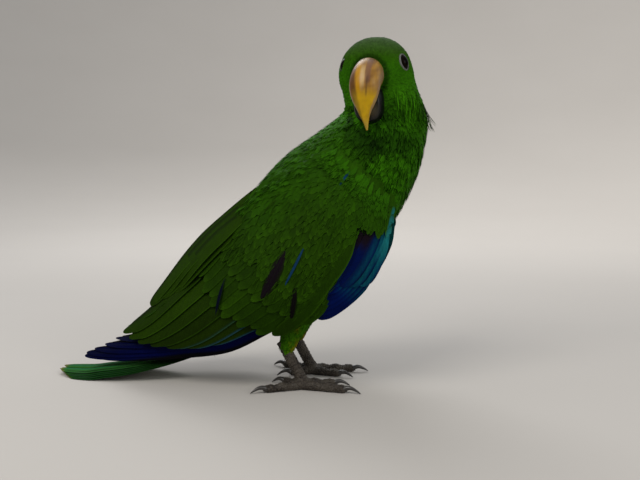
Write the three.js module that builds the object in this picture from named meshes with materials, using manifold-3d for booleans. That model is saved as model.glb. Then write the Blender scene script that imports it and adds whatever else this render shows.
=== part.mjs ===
// A male eclectus parrot standing on the floor, life size, in millimetres, +Z up.
// The body heads along +X, and the head looks back over the bird's right side, along -Y.
// The origin is on the floor, under the middle of the bird's bounding box.
import * as THREE from "three";
import { mergeVertices } from "three/addons/utils/BufferGeometryUtils.js";
import Module from "manifold-3d";

const wasm = await Module();
wasm.setup();

// Driving sizes
const GAP = 0.3; // clearance between touching pieces
const BODY_PITCH = 49; // degrees, the back's axis above the horizontal
const SHOULDER = { x: 113.7, y: 0, z: 122 }; // the wings' bends, on the body's middle plane
const HEAD_TURN = -98; // degrees, from the body's heading to the way the face looks
const HEAD = { x: 99.6, y: -8 }; // the head's upright axis
const CROWN_Z = 240.5;
const RING_SIDES = 24; // points round the body
const RINGS_A_SPAN = 2; // rings between two stations

const rad = THREE.MathUtils.degToRad;
const lerp = THREE.MathUtils.lerp;
const clamp = THREE.MathUtils.clamp;
const V = (x, y, z) => new THREE.Vector3(x, y, z);
const steps = (n) => Array.from({ length: n + 1 }, (_, i) => i / n);

// A smooth curve through a row of numbers, at t from 0 to their count less one
function through(values, t) {
  const last = values.length - 1;
  const i = clamp(Math.floor(t), 0, last - 1);
  const f = t - i;
  const at = (k) => values[clamp(k, 0, last)];
  const [a, b, c, d] = [at(i - 1), at(i), at(i + 1), at(i + 2)];
  return b + 0.5 * f * (c - a + f * (2 * a - 5 * b + 4 * c - d + f * (3 * (b - c) + d - a)));
}

// Where x falls in a row of falling numbers, as a t for through()
function stationOf(xs, x) {
  let i = 0;
  while (i < xs.length - 2 && x < xs[i + 1]) i++;
  return i + (x - xs[i]) / (xs[i + 1] - xs[i]);
}

// The body's own frame: x forward along the back's axis, y to the bird's left, z towards the back
function fromBody(x, y, z) {
  const [c, s] = [Math.cos(rad(BODY_PITCH)), Math.sin(rad(BODY_PITCH))];
  return V(SHOULDER.x + c * x - s * z, SHOULDER.y + y, SHOULDER.z + s * x + c * z);
}

// The head's own frame: forward out of the face, to the head's left, and the height above the floor
function fromHead(forward, left, z) {
  const [c, s] = [Math.cos(rad(HEAD_TURN)), Math.sin(rad(HEAD_TURN))];
  return V(HEAD.x + c * forward - s * left, HEAD.y + s * forward + c * left, z);
}

// Closed meshes

// A geometry of shared points whose faces look outwards
function closedGeometry(points, faces) {
  let volume = 0;
  for (const [a, b, c] of faces) {
    volume += points[a].dot(points[b].clone().cross(points[c]));
  }
  const outward = volume < 0 ? faces.map(([a, b, c]) => [a, c, b]) : faces;
  const geometry = new THREE.BufferGeometry();
  const numbers = points.flatMap((p) => p.toArray());
  geometry.setAttribute("position", new THREE.Float32BufferAttribute(numbers, 3));
  geometry.setIndex(outward.flat());
  return geometry;
}

// A skin over rings of equal count, closed by a point at each end
function ringed(rings, firstPole = middleOf(rings[0]), lastPole = middleOf(rings[rings.length - 1])) {
  const n = rings[0].length;
  const points = [...rings.flat(), firstPole, lastPole];
  const faces = [];
  for (let i = 0; i + 1 < rings.length; i++) {
    for (let j = 0; j < n; j++) {
      const [a, b] = [i * n + j, i * n + ((j + 1) % n)];
      faces.push([a, b, b + n], [a, b + n, a + n]);
    }
  }
  const [first, last, lastRing] = [points.length - 2, points.length - 1, (rings.length - 1) * n];
  for (let j = 0; j < n; j++) {
    const k = (j + 1) % n;
    faces.push([first, k, j], [last, lastRing + j, lastRing + k]);
  }
  return closedGeometry(points, faces);
}

function middleOf(ring) {
  return ring.reduce((sum, p) => sum.add(p), V(0, 0, 0)).divideScalar(ring.length);
}

// A plate between an upper and a lower grid of rows, whose two faces are split into triangles alike
function plate(upper, lower) {
  const [rows, columns] = [upper.length, upper[0].length];
  const under = rows * columns;
  const faces = [];
  for (let i = 0; i + 1 < rows; i++) {
    for (let j = 0; j + 1 < columns; j++) {
      const a = i * columns + j;
      const [b, c, d] = [a + 1, a + columns + 1, a + columns];
      faces.push([a, b, c], [a, c, d], [under + a, under + c, under + b], [under + a, under + d, under + c]);
    }
  }
  const rim = [];
  for (let j = 0; j < columns; j++) rim.push(j);
  for (let i = 1; i < rows; i++) rim.push(i * columns + columns - 1);
  for (let j = columns - 2; j >= 0; j--) rim.push((rows - 1) * columns + j);
  for (let i = rows - 2; i > 0; i--) rim.push(i * columns);
  rim.forEach((a, k) => {
    const b = rim[(k + 1) % rim.length];
    faces.push([a, under + a, under + b], [a, under + b, b]);
  });
  return closedGeometry([...upper.flat(), ...lower.flat()], faces);
}

// A round limb along a path, flat where it meets the floor: at(s) gives the middle, size(s) the radius
// across and the radius up
function limb(rings, sides, at, size) {
  const made = steps(rings).map((s) => {
    const along = at(Math.min(s + 0.01, 1)).sub(at(Math.max(s - 0.01, 0))).normalize();
    const across = V(0, 0, 1).cross(along);
    if (across.length() < 0.2) across.set(0, 1, 0);
    across.normalize();
    const up = along.clone().cross(across);
    const [wide, tall] = size(s);
    return Array.from({ length: sides }, (_, k) => {
      const a = (2 * Math.PI * (k + 0.5)) / sides;
      const p = at(s).addScaledVector(across, wide * Math.cos(a)).addScaledVector(up, tall * Math.sin(a));
      return p.setZ(Math.max(p.z, 0));
    });
  });
  return ringed(made);
}

// Joining and cutting

function solid(geometry) {
  const bare = geometry.clone();
  bare.deleteAttribute("normal");
  bare.deleteAttribute("uv");
  const merged = mergeVertices(bare, 1e-4);
  return new wasm.Manifold(
    new wasm.Mesh({
      numProp: 3,
      vertProperties: merged.attributes.position.array,
      triVerts: new Uint32Array(merged.index.array),
    }),
  );
}

const join = (solids) => solids.reduce((sum, s) => sum.add(s));
const cutBy = (body, ...tools) => tools.reduce((left, tool) => left.subtract(tool), body);
const largest = (body) => body.decompose().reduce((best, b) => (b.volume() > best.volume() ? b : best));

const parrot = new THREE.Group();
const FINISHES = {
  green: { color: 0x2f6a14, roughness: 0.7 },
  wing: { color: 0x2b6514, roughness: 0.65 },
  blue: { color: 0x14289a, roughness: 0.6 },
  bill: { color: 0xd79a1e, roughness: 0.35 },
  bill_dark: { color: 0x24211f, roughness: 0.4 },
  eye: { color: 0x0b0908, roughness: 0.08 },
  lid: { color: 0x5b5a52, roughness: 0.7 },
  foot: { color: 0x5a544a, roughness: 0.8 },
  claw: { color: 0x1c1a18, roughness: 0.4 },
};

// Puts a node's largest closed body in the group
function place(name, finish, body) {
  const mesh = largest(body).getMesh();
  const geometry = new THREE.BufferGeometry();
  geometry.setAttribute("position", new THREE.Float32BufferAttribute(mesh.vertProperties, 3));
  geometry.setIndex([...mesh.triVerts]);
  const material = new THREE.MeshStandardMaterial({ ...FINISHES[finish], metalness: 0 });
  const node = new THREE.Mesh(geometry.toNonIndexed(), material);
  node.name = name;
  parrot.add(node);
}

// The body's form: stations from the crown to the tail's root. lean is the angle of each section's
// axis above the horizontal, and turn is the angle of its front round that axis.
const upright = (dx, below, turn, front, back, side) => ({
  at: V(HEAD.x + dx, HEAD.y, CROWN_Z - below), lean: 90, turn, front, back, side,
});
const onBody = (x, z, lean, turn, depth, side) => ({
  at: fromBody(x, 0, z), lean: BODY_PITCH + lean, turn, front: depth, back: depth, side,
});
const FORM = [
  upright(0.5, 1.2, HEAD_TURN, 7.5, 8.5, 8),
  upright(0.5, 5, HEAD_TURN, 15, 16.5, 15.5),
  upright(0.3, 11.5, HEAD_TURN, 20.3, 22.5, 21.6),
  upright(0.2, 20.5, HEAD_TURN, 22.8, 25.3, 25.2),
  upright(1.2, 29.5, HEAD_TURN, 23.3, 26.5, 26.2),
  upright(4, 38.5, HEAD_TURN, 23, 27, 26.4),
  upright(6.5, 47.5, -88, 24.5, 27.5, 27.8),
  onBody(42, 46, 25, -62, 30.5, 30),
  onBody(19, 42.5, 22, -28, 39.5, 35),
  onBody(-7.5, 41, 15, -8, 45, 36),
  onBody(-39, 40, 7, 0, 46.5, 36.5),
  onBody(-70, 39, 2, 0, 45.5, 35),
  onBody(-98, 40, 0, 0, 38.5, 30),
  onBody(-125, 41, 0, 0, 28.5, 21),
  onBody(-148, 38.5, 0, 0, 15.5, 13),
  onBody(-160, 36, 0, 0, 8, 10),
];
const LAST = FORM.length - 1;
const column = (key) => FORM.map((station) => station[key]);
const FORM_X = FORM.map(({ at }) => at.x);
const FORM_Y = FORM.map(({ at }) => at.y);
const FORM_Z = FORM.map(({ at }) => at.z);
const FORM_COLUMNS = Object.fromEntries(["lean", "turn", "front", "back", "side"].map((key) => [key, column(key)]));

// The section at t: its middle, its axis, its front and its left
function section(t) {
  const value = (key) => through(FORM_COLUMNS[key], t);
  const lean = rad(value("lean"));
  const turn = rad(value("turn"));
  const ahead = V(Math.sin(lean), 0, -Math.cos(lean));
  const left = V(0, 1, 0);
  return {
    middle: V(through(FORM_X, t), through(FORM_Y, t), through(FORM_Z, t)),
    axis: V(Math.cos(lean), 0, Math.sin(lean)),
    front: ahead.clone().multiplyScalar(Math.cos(turn)).addScaledVector(left, Math.sin(turn)),
    left: left.clone().multiplyScalar(Math.cos(turn)).addScaledVector(ahead, -Math.sin(turn)),
    radii: [value("front"), value("back"), value("side")],
  };
}

// A point of the skin at t, at an angle from the front towards the left, raised by grow
function skin(t, angle, grow = 0) {
  const s = section(t);
  const [front, back, side] = s.radii;
  const [c, d] = [Math.cos(angle), Math.sin(angle)];
  const along = (c > 0 ? front : back) + grow;
  return s.middle.addScaledVector(s.front, along * c).addScaledVector(s.left, (side + grow) * d);
}

function bodyForm(grow = 0) {
  const count = LAST * RINGS_A_SPAN;
  const rings = steps(count).map((share) =>
    Array.from({ length: RING_SIDES }, (_, j) => {
      const turn = rad(through(FORM_COLUMNS.turn, share * LAST));
      return skin(share * LAST, (2 * Math.PI * j) / RING_SIDES - turn, grow);
    }),
  );
  const top = section(0).middle.setZ(CROWN_Z + grow);
  const end = section(LAST);
  const tailEnd = end.middle.addScaledVector(end.axis, -4 - grow);
  return solid(ringed(rings, top, tailEnd));
}

// A thin cut square to the spine at t
function slice(t, size) {
  const { middle, axis } = section(t);
  const box = new THREE.BoxGeometry(size, size, GAP);
  box.applyQuaternion(new THREE.Quaternion().setFromUnitVectors(V(0, 0, 1), axis));
  box.translate(middle.x, middle.y, middle.z);
  return solid(box);
}

// Eyes: a ball in a socket behind a ring of bare lid
const EYE = { angle: 63, below: 18.2, ball: 6.2, opening: 4.6, lidRing: 5.3, lidThick: 1.0, lidSink: 0.5, segments: 12 };

function eyeSeat(side) {
  const t = stationOf(FORM_Z, CROWN_Z - EYE.below);
  const angle = side * rad(EYE.angle);
  const spot = skin(t, angle);
  const out = skin(t, angle, 1).sub(spot).normalize();
  const sink = Math.sqrt(EYE.ball ** 2 - EYE.opening ** 2) + EYE.lidSink;
  return { rim: spot.clone().addScaledVector(out, -EYE.lidSink), out, ball: spot.clone().addScaledVector(out, -sink) };
}

function eyeBall(side, grow = 0) {
  const sphere = new THREE.SphereGeometry(EYE.ball + grow, EYE.segments, 7);
  const { ball } = eyeSeat(side);
  return solid(sphere.translate(ball.x, ball.y, ball.z));
}

function lid(side, grow = 0) {
  const ring = new THREE.TorusGeometry(EYE.lidRing, EYE.lidThick + grow, 5, EYE.segments);
  const { rim, out } = eyeSeat(side);
  ring.applyQuaternion(new THREE.Quaternion().setFromUnitVectors(V(0, 0, 1), out));
  return solid(ring.translate(rim.x, rim.y, rim.z));
}

// The upper bill: sections between the ridge and the cutting edge, each [forward, height]
const BILL = {
  ridge: [16, 27, 36, 41.5, 42.3, 39.8, 35.6, 32.2],
  ridgeBelow: [16.5, 17.2, 22.5, 31, 40.5, 50.5, 59, 63.7],
  edge: [16, 22, 26.5, 30, 31.3, 31.8, 31.9, 31.7],
  edgeBelow: [39, 39.2, 40.5, 43.5, 48, 53.5, 58.9, 63],
  half: [10.3, 11.2, 11.2, 10.2, 8.3, 5.2, 2.4, 0.7],
  rings: 12,
  sides: 14,
};

function billUpper(grow = 0) {
  const last = BILL.half.length - 1;
  const rings = steps(BILL.rings).map((share) => {
    const t = share * last;
    const [ridgeF, ridgeZ] = [through(BILL.ridge, t), CROWN_Z - through(BILL.ridgeBelow, t)];
    const [edgeF, edgeZ] = [through(BILL.edge, t), CROWN_Z - through(BILL.edgeBelow, t)];
    const length = Math.hypot(ridgeF - edgeF, ridgeZ - edgeZ);
    const stretch = (length + 2 * grow) / length;
    return Array.from({ length: BILL.sides }, (_, k) => {
      const a = (2 * Math.PI * k) / BILL.sides;
      const up = 0.5 + 0.5 * stretch * Math.cos(a);
      const wide = (through(BILL.half, t) + grow) * Math.sin(a);
      return fromHead(lerp(edgeF, ridgeF, up), wide, lerp(edgeZ, ridgeZ, up));
    });
  });
  return solid(ringed(rings));
}

const NOSTRIL = { forward: 25.5, left: 5.8, below: 19.3, radius: 1.1, depth: 3 };

function nostril(side) {
  const pit = new THREE.CylinderGeometry(NOSTRIL.radius, NOSTRIL.radius, 2 * NOSTRIL.depth, 8);
  const at = fromHead(NOSTRIL.forward, side * NOSTRIL.left, CROWN_Z - NOSTRIL.below);
  const out = fromHead(NOSTRIL.forward, side * (NOSTRIL.left + 1), CROWN_Z - NOSTRIL.below + 1).sub(at).normalize();
  pit.applyQuaternion(new THREE.Quaternion().setFromUnitVectors(V(0, 1, 0), out));
  return solid(pit.translate(at.x, at.y, at.z));
}

// The lower bill: a scoop under the hook
const JAW = {
  forward: [12, 18, 23, 27, 30, 31.2],
  topBelow: [40.5, 40.5, 41.5, 42.5, 44, 45.5],
  bottomBelow: [57.5, 58, 57.3, 55, 50.5, 47],
  half: [9.5, 9.8, 9.2, 7.6, 4.6, 1.5],
};

function billLower(grow = 0) {
  const last = JAW.half.length - 1;
  const rings = steps(2 * last).map((share) => {
    const t = share * last;
    const forward = through(JAW.forward, t);
    const low = CROWN_Z - through(JAW.bottomBelow, t) - grow;
    const high = CROWN_Z - through(JAW.topBelow, t) + grow;
    return Array.from({ length: 12 }, (_, k) => {
      const a = (2 * Math.PI * k) / 12;
      return fromHead(forward, (through(JAW.half, t) + grow) * Math.sin(a), lerp(low, high, 0.5 + 0.5 * Math.cos(a)));
    });
  });
  return solid(ringed(rings));
}

// Head, neck and torso are one form, parted by thin cuts
const NECK_TOP = 5.9; // stations along the form
const NECK_BASE = 8.0;
const TORSO_GROWN = bodyForm(GAP);
{
  const parted = bodyForm().subtract(slice(NECK_TOP, 120)).subtract(slice(NECK_BASE, 140)).decompose();
  const heightOf = (body) => body.boundingBox().max[2];
  const [head, neck, torso] = parted.sort((a, b) => heightOf(b) - heightOf(a));
  const sides = [-1, 1];
  const facing = [billUpper(GAP), billLower(GAP), ...sides.map((s) => eyeBall(s, GAP)), ...sides.map((s) => lid(s, GAP))];
  place("head", "green", cutBy(head, ...facing));
  place("neck", "green", cutBy(neck, ...facing));
  place("torso", "green", torso);
  place("bill_upper", "bill", cutBy(billUpper(), ...sides.map(nostril)));
  place("bill_lower", "bill_dark", cutBy(billLower(), billUpper(GAP)));
  for (const [s, name] of [[-1, "right"], [1, "left"]]) {
    place(`eye_${name}`, "eye", eyeBall(s));
    place(`eyelid_${name}`, "lid", cutBy(lid(s), eyeBall(s, GAP)));
  }
}

// Wings: each lies on a curved sheet in the body's frame, from its lower edge (q 0) to its upper edge (q 1)
const SHEET = {
  x: [6, -18, -48, -85, -120, -155, -190, -220, -246],
  lowY: [33, 38, 41, 40, 36, 30, 23, 17, 12],
  lowZ: [3, -8, -15, -9, 5, 15, 34, 50, 62],
  midY: [40, 45.5, 47.5, 46.5, 42, 34, 24, 16, 11],
  midZ: [32, 33, 35, 41, 49, 55, 63, 72, 79],
  topY: [33, 29, 18, 7.5, 2.6, 2, 3, 5, 7],
  topZ: [62, 72, 84, 89, 91, 90, 89, 94, 97],
};
const WINGS = [
  { side: -1, name: "right", fold: 6 },
  { side: 1, name: "left", fold: 5.6 },
];
const ease = (x, x0, x1) => {
  const f = clamp((x - x0) / (x1 - x0), 0, 1);
  return f * f * (3 - 2 * f);
};

// A point of the sheet before the wing is folded, in the body's frame
function onSheet(x, q) {
  const t = stationOf(SHEET.x, x);
  const at = (key) => through(SHEET[key], t);
  const [a, b, c] = [(1 - q) * (1 - 2 * q), 4 * q * (1 - q), q * (2 * q - 1)];
  return V(x, a * at("lowY") + b * at("midY") + c * at("topY"), a * at("lowZ") + b * at("midZ") + c * at("topZ"));
}

const sheetWidth = (x) => onSheet(x, 0).distanceTo(onSheet(x, 0.5)) + onSheet(x, 0.5).distanceTo(onSheet(x, 1));

// A point of a wing at a depth under the sheet, which folds up towards its tip
function wingPoint(wing, x, q, depth) {
  const h = 0.02;
  const alongX = onSheet(x + 1, q).sub(onSheet(x - 1, q));
  const alongQ = onSheet(x, q + h).sub(onSheet(x, q - h));
  const out = alongX.cross(alongQ).normalize();
  if (out.y + 0.01 * out.z < 0) out.negate();
  const p = onSheet(x, q).addScaledVector(out, -depth);
  const fold = rad(wing.fold) * clamp((-60 - x) / 180, 0, 1.05) ** 2;
  const [c, s] = [Math.cos(fold), Math.sin(fold)];
  return fromBody(c * p.x + s * p.z, wing.side * p.y, c * p.z - s * p.x);
}

// A slab of the sheet between two x and two q, its front edge rounded off by blunt
function wingSlab(wing, [x0, x1], [q0, q1], [d0, d1], rows, columns, blunt = 0) {
  const grid = (depth, sink) =>
    steps(rows).map((u, i) =>
      steps(columns).map((v) => wingPoint(wing, lerp(x0, x1, u), lerp(q0, q1, v), depth + (i === 0 ? sink : 0))),
    );
  return solid(plate(grid(d0, blunt), grid(d1, 0)));
}

// Each row of a feather: how far along it lies and how wide it is there
const LONG = { along: [0, 0.3, 0.6, 0.82, 0.94, 1], wide: [0.5, 1, 1, 0.93, 0.68, 0.24] };
const SHORT = { along: [0, 0.5, 0.85, 1], wide: [0.8, 1, 0.75, 0.3] };
const LAYER = 1.05; // a vane and the clearance over it
const VANE = 0.7;

// One feather on a wing: its lower edge rides over the next feather down and its upper edge runs under
// the next one up, one layer for each pitch between feathers
function wingVane(wing, shape, f) {
  const rows = shape.along.map((s, i) => {
    const bend = s ** (f.curve ?? 1);
    const [x, q] = [lerp(f.root.x, f.tip.x, s), lerp(f.root.q, f.tip.q, bend)];
    const half = (f.half * shape.wide[i]) / sheetWidth(x);
    const tilt = Math.min((LAYER * half) / lerp(f.pitch[0], f.pitch[1], bend), f.most);
    const depth = f.depth(x, s);
    const thick = lerp(VANE + 0.2, VANE - 0.15, s);
    const edge = (way, extra) => wingPoint(wing, x, q + way * half, depth + way * tilt + extra);
    const shaft = (extra) => wingPoint(wing, x, q, depth + extra);
    return [
      [edge(-1, 0), shaft(-0.15), edge(1, 0)],
      [edge(-1, thick), shaft(thick), edge(1, thick)],
    ];
  });
  return solid(plate(rows.map((r) => r[0]), rows.map((r) => r[1])));
}

const SECONDARIES = { x: [-154, -164, -173, -181, -188, -194, -199], q: [0.3, 0.4, 0.5, 0.6, 0.69, 0.78, 0.87] };
const PRIMARIES = { x: [-226, -237, -243, -240, -232, -222, -211], q: [0.34, 0.4, 0.46, 0.53, 0.6, 0.67, 0.75] };
const secondaryDepth = (x) => lerp(5, 2, ease(x, -112, -150));
const primaryDepth = (x) => secondaryDepth(x) + 5.9;

for (const wing of WINGS) {
  const shoulder = [wingSlab(wing, [8, -80], [0.21, 1], [0.6, 8], 6, 7, 5)];
  for (let k = 0; k < 6; k++) {
    const q = 0.29 + 0.125 * k;
    shoulder.push(
      wingVane(wing, SHORT, {
        root: { x: -68, q }, tip: { x: -93, q }, half: 7, pitch: [0.125, 0.125], most: 0.35,
        depth: (x, s) => lerp(1, 0.3, s),
      }),
      wingVane(wing, SHORT, {
        root: { x: -40, q: q - 0.03 }, tip: { x: -64, q: q - 0.03 }, half: 6.5, pitch: [0.125, 0.125], most: 0.3,
        depth: (x, s) => lerp(0.9, -0.5, s),
      }),
    );
  }

  const arm = [wingSlab(wing, [-80.4, -104], [0.04, 0.98], [3.2, 6], 2, 7)];
  SECONDARIES.x.forEach((tipX, k) => {
    arm.push(
      wingVane(wing, LONG, {
        root: { x: -92, q: 0.11 + 0.128 * k }, tip: { x: tipX, q: SECONDARIES.q[k] }, half: 8.6,
        pitch: [0.128, 0.095], most: 2, depth: secondaryDepth,
      }),
      wingVane(wing, SHORT, {
        root: { x: -86, q: 0.09 + 0.13 * k }, tip: { x: -118 - 1.5 * k, q: 0.12 + 0.13 * k }, half: 7.6,
        pitch: [0.13, 0.13], most: 1, depth: (x) => lerp(4, 1.6, ease(x, -88, -106)),
      }),
    );
  });

  const hand = [wingSlab(wing, [-2, -80], [0.0, 0.185], [1.2, 10], 5, 2, 4)];
  for (let k = 0; k < 4; k++) {
    hand.push(
      wingVane(wing, SHORT, {
        root: { x: -16 - 14 * k, q: 0.05 + 0.012 * k }, tip: { x: -48 - 17 * k, q: 0.04 + 0.02 * k }, half: 6.5,
        pitch: [0.09, 0.09], most: 0.3, depth: (x, s) => lerp(1.6, 0.1, s),
      }),
    );
  }
  PRIMARIES.x.forEach((tipX, k) => {
    hand.push(
      wingVane(wing, LONG, {
        root: { x: -70, q: 0.03 + 0.018 * k }, tip: { x: tipX, q: PRIMARIES.q[k] }, half: 6,
        curve: 1.5, pitch: [0.018, 0.068], most: 2.6,
        depth: (x) => lerp(8.7, primaryDepth(x), ease(x, -80, -112)),
      }),
    );
  });
  place(`wing_${wing.name}_coverts`, "wing", cutBy(join(shoulder), TORSO_GROWN));
  place(`wing_${wing.name}_secondaries`, "wing", cutBy(join(arm), TORSO_GROWN));
  place(`wing_${wing.name}_primaries`, "blue", cutBy(join(hand), TORSO_GROWN));
}

// The tail lies back from its root and settles on the floor
const TAIL = { length: 118, pairs: 6, width: 12.5, pitch: 2.1, layer: 1.02, vane: 0.72, drop: 20.5 };
const TAIL_ROOT = fromBody(-163, 0, 36);

function tailVane(side, k) {
  const level = TAIL.layer * (TAIL.pairs - 1 - k);
  const length = TAIL.length - 2.5 * k;
  const rows = [0, 0.25, 0.5, 0.78, 0.94, 1].map((s, i) => {
    const x = TAIL_ROOT.x - 0.975 * length * s;
    const z = level + TAIL.drop * (1 - s) ** 1.9 * (s < 0.78 ? 1 : 0);
    const inner = 0.2 + TAIL.pitch * k * lerp(0.35, 1, Math.min(1, 1.6 * s));
    const full = TAIL.width * [0.55, 0.85, 1, 1, 0.85, 0.45][i];
    const [y0, y1] = [inner, inner + full].map((y) => SHOULDER.y + side * y);
    const ym = 0.55 * y0 + 0.45 * y1;
    return [
      [V(x, y0, z + TAIL.vane), V(x, ym, z + TAIL.vane + 0.1), V(x, y1, z + TAIL.vane)],
      [V(x, y0, z), V(x, ym, z), V(x, y1, z)],
    ];
  });
  return solid(plate(rows.map((r) => r[0]), rows.map((r) => r[1])));
}

{
  const root = limb(4, 12, (s) => V(TAIL_ROOT.x + 1 - 22 * s, SHOULDER.y, TAIL_ROOT.z - 0.4 - 6 * s), (s) => [
    lerp(9.5, 7, s) * Math.sqrt(1.02 - s ** 4), lerp(7, 3.4, s),
  ]);
  const vanes = [-1, 1].flatMap((side) => Array.from({ length: TAIL.pairs }, (_, k) => tailVane(side, k)));
  place("tail", "green", cutBy(join([solid(root), ...vanes]), TORSO_GROWN));
}

// Legs: a feathered thigh, a scaled shank with its pad, and two toes forward and two back
const LEG = {
  foot: { x: 51.7, y: 21 },
  thigh: { top: [58.5, 16, 82], heel: [39.5, 20.5, 27], radius: [14.5, 15, 12.5, 8.5, 6] },
  shank: { radius: 4.1, pad: 7, padTall: 4.2 },
};
const TOES = [
  { name: "front_inner", from: -3.6, heading: 12, length: 21, radius: 3.1 },
  { name: "front_outer", from: 3.6, heading: -10, length: 30, radius: 3.2 },
  { name: "back_inner", from: -3.6, heading: 160, length: 15, radius: 2.9 },
  { name: "back_outer", from: 3.6, heading: 208, length: 26, radius: 3.1 },
];

for (const [side, name] of [[-1, "right"], [1, "left"]]) {
  const at = (x, out, z) => V(x, SHOULDER.y + side * out, z);
  const heel = at(...LEG.thigh.heel);
  const foot = at(LEG.foot.x, LEG.foot.y, 4.2);
  const hip = at(...LEG.thigh.top);
  const thighForm = (grow) =>
    solid(limb(6, 14, (s) => hip.clone().lerp(heel, s), (s) => {
      const r = through(LEG.thigh.radius, 4 * s) + grow;
      return [r, r];
    }));
  const shankForm = (grow) => {
    const shaft = limb(3, 10, (s) => heel.clone().lerp(foot, lerp(-0.25, 1, s)), () => [LEG.shank.radius + grow, LEG.shank.radius + grow]);
    const pad = new THREE.SphereGeometry(1, 12, 8).scale(LEG.shank.pad + grow, LEG.shank.pad + grow, LEG.shank.padTall + grow);
    pad.translate(foot.x, foot.y, 3.6);
    const spots = pad.attributes.position;
    for (let i = 0; i < spots.count; i++) spots.setZ(i, Math.max(spots.getZ(i), 0));
    return join([solid(shaft), solid(pad)]);
  };
  place(`thigh_${name}`, "green", cutBy(thighForm(0), TORSO_GROWN, shankForm(GAP)));
  place(`shank_${name}`, "foot", shankForm(0));
  for (const toe of TOES) {
    const way = rad(toe.heading);
    const ahead = V(Math.cos(way), -side * Math.sin(way), 0);
    const start = V(foot.x + (Math.abs(toe.heading) < 90 ? 2 : -2), foot.y + side * toe.from, 0);
    const toeForm = (grow) =>
      solid(limb(3, 8, (s) => start.clone().addScaledVector(ahead, toe.length * s).setZ(2.7 - 0.5 * s), (s) => {
        const r = toe.radius * (1 - 0.22 * s) * (s > 0.99 ? 0.55 : 1) + grow;
        return [r, r];
      }));
    const tip = start.clone().addScaledVector(ahead, toe.length + 3 * GAP);
    const claw = limb(3, 5, (s) => tip.clone().addScaledVector(ahead, 8.5 * s).setZ(2.5 + 1.8 * Math.sin(Math.PI * s) - 1.3 * s), (s) => {
      const r = lerp(1.7, 0.35, s);
      return [0.8 * r, r];
    });
    place(`toe_${name}_${toe.name}`, "foot", cutBy(toeForm(0), shankForm(GAP)));
    place(`claw_${name}_${toe.name}`, "claw", solid(claw));
  }
}

export default parrot;
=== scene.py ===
import math
import bmesh
import bpy
import numpy as np
from mathutils import Matrix, Vector
from mathutils.bvhtree import BVHTree
from mathutils.kdtree import KDTree


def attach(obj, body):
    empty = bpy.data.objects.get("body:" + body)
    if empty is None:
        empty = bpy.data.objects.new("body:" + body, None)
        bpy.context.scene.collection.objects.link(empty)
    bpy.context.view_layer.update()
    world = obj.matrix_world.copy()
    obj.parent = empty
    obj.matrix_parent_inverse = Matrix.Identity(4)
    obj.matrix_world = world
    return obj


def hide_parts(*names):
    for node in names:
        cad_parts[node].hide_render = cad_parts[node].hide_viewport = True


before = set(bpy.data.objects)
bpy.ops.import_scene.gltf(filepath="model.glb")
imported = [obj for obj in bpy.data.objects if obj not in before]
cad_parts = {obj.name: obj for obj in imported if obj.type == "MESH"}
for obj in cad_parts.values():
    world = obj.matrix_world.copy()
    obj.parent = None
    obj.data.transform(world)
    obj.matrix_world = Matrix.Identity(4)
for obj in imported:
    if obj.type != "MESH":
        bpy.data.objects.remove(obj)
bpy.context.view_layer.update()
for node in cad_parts.values():
    node.data.materials.clear()  # a piece of this script stands for each node

# The camera. It stands half a metre from the wing, a little above it and a little towards the breast,
# and keeps the whole bird in a picture of 640 by 480.
MM = 0.001
SHOULDER = np.array([113.7, 0.0, 122.0])  # the wings' bends on the middle plane, in millimetres
CAMERA_OFF_SHOULDER, CAMERA_TURN, CAMERA_DIP = np.array([25.3, -558.99, 29.13]), 8, 5
SENSOR, FOCAL_WIDTHS = 36.0, 800 / 640
camera_data = bpy.data.cameras.new("camera")
camera_data.sensor_width = SENSOR
camera_data.lens = SENSOR * FOCAL_WIDTHS
camera = bpy.data.objects.new("camera", camera_data)
bpy.context.scene.collection.objects.link(camera)
camera.location = (SHOULDER + CAMERA_OFF_SHOULDER) * MM
camera.rotation_euler = (math.radians(90 - CAMERA_DIP), 0, math.radians(CAMERA_TURN))
bpy.context.scene.camera = camera

# The floor, one pale sheet that curves up far away on all sides, and the lights: broad ones before, beside
# and behind the bird, all above it, one more on the far part of the sheet, and an even glow from all round.
FLOOR_SIDES, FLAT_RADII, BEND = 96, [0.4, 0.8, 1.2], 2.6


def grid_faces(numbers):
    """The four-sided faces between the neighbours of a grid of point numbers."""
    corners = numbers[:-1, :-1], numbers[:-1, 1:], numbers[1:, 1:], numbers[1:, :-1]
    return np.stack(corners, -1).reshape(-1, 4)


def circle(count, shift=0.0):
    """Angles set evenly round a circle."""
    return 2 * np.pi * (np.arange(count) + shift) / count


def ring_numbers(count, sides):
    """Point numbers of rings that lie one after another, with each ring's first point again at its end."""
    return np.pad(np.arange(count * sides).reshape(count, sides), ((0, 0), (0, 1)), mode="wrap")


def sweep_of_paper():
    climb = np.linspace(0.1, 1.0, 14)
    radii = np.r_[FLAT_RADII, FLAT_RADII[-1] + BEND * np.sin(climb)][:, None]
    heights = np.r_[0 * np.array(FLAT_RADII), BEND * (1 - np.cos(climb))][:, None]
    turn = circle(FLOOR_SIDES)
    rings = np.stack(np.broadcast_arrays(radii * np.cos(turn), radii * np.sin(turn), heights), -1)
    numbers = 1 + ring_numbers(len(rings), FLOOR_SIDES)
    middle = [(0, a, b) for a, b in zip(numbers[0].tolist(), numbers[0, 1:].tolist())]
    sheet = bpy.data.meshes.new("floor")
    sheet.from_pydata([(0, 0, 0), *rings.reshape(-1, 3).tolist()], [],
                      middle + grid_faces(numbers)[:, ::-1].tolist(), shade_flat=False)
    return sheet


def feed(value, inlet):
    """A link, or a value that is the same everywhere, into one inlet of a node."""
    if isinstance(value, Link):
        value.tree.links.new(value.socket, inlet)
    else:
        inlet.default_value = value


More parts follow.
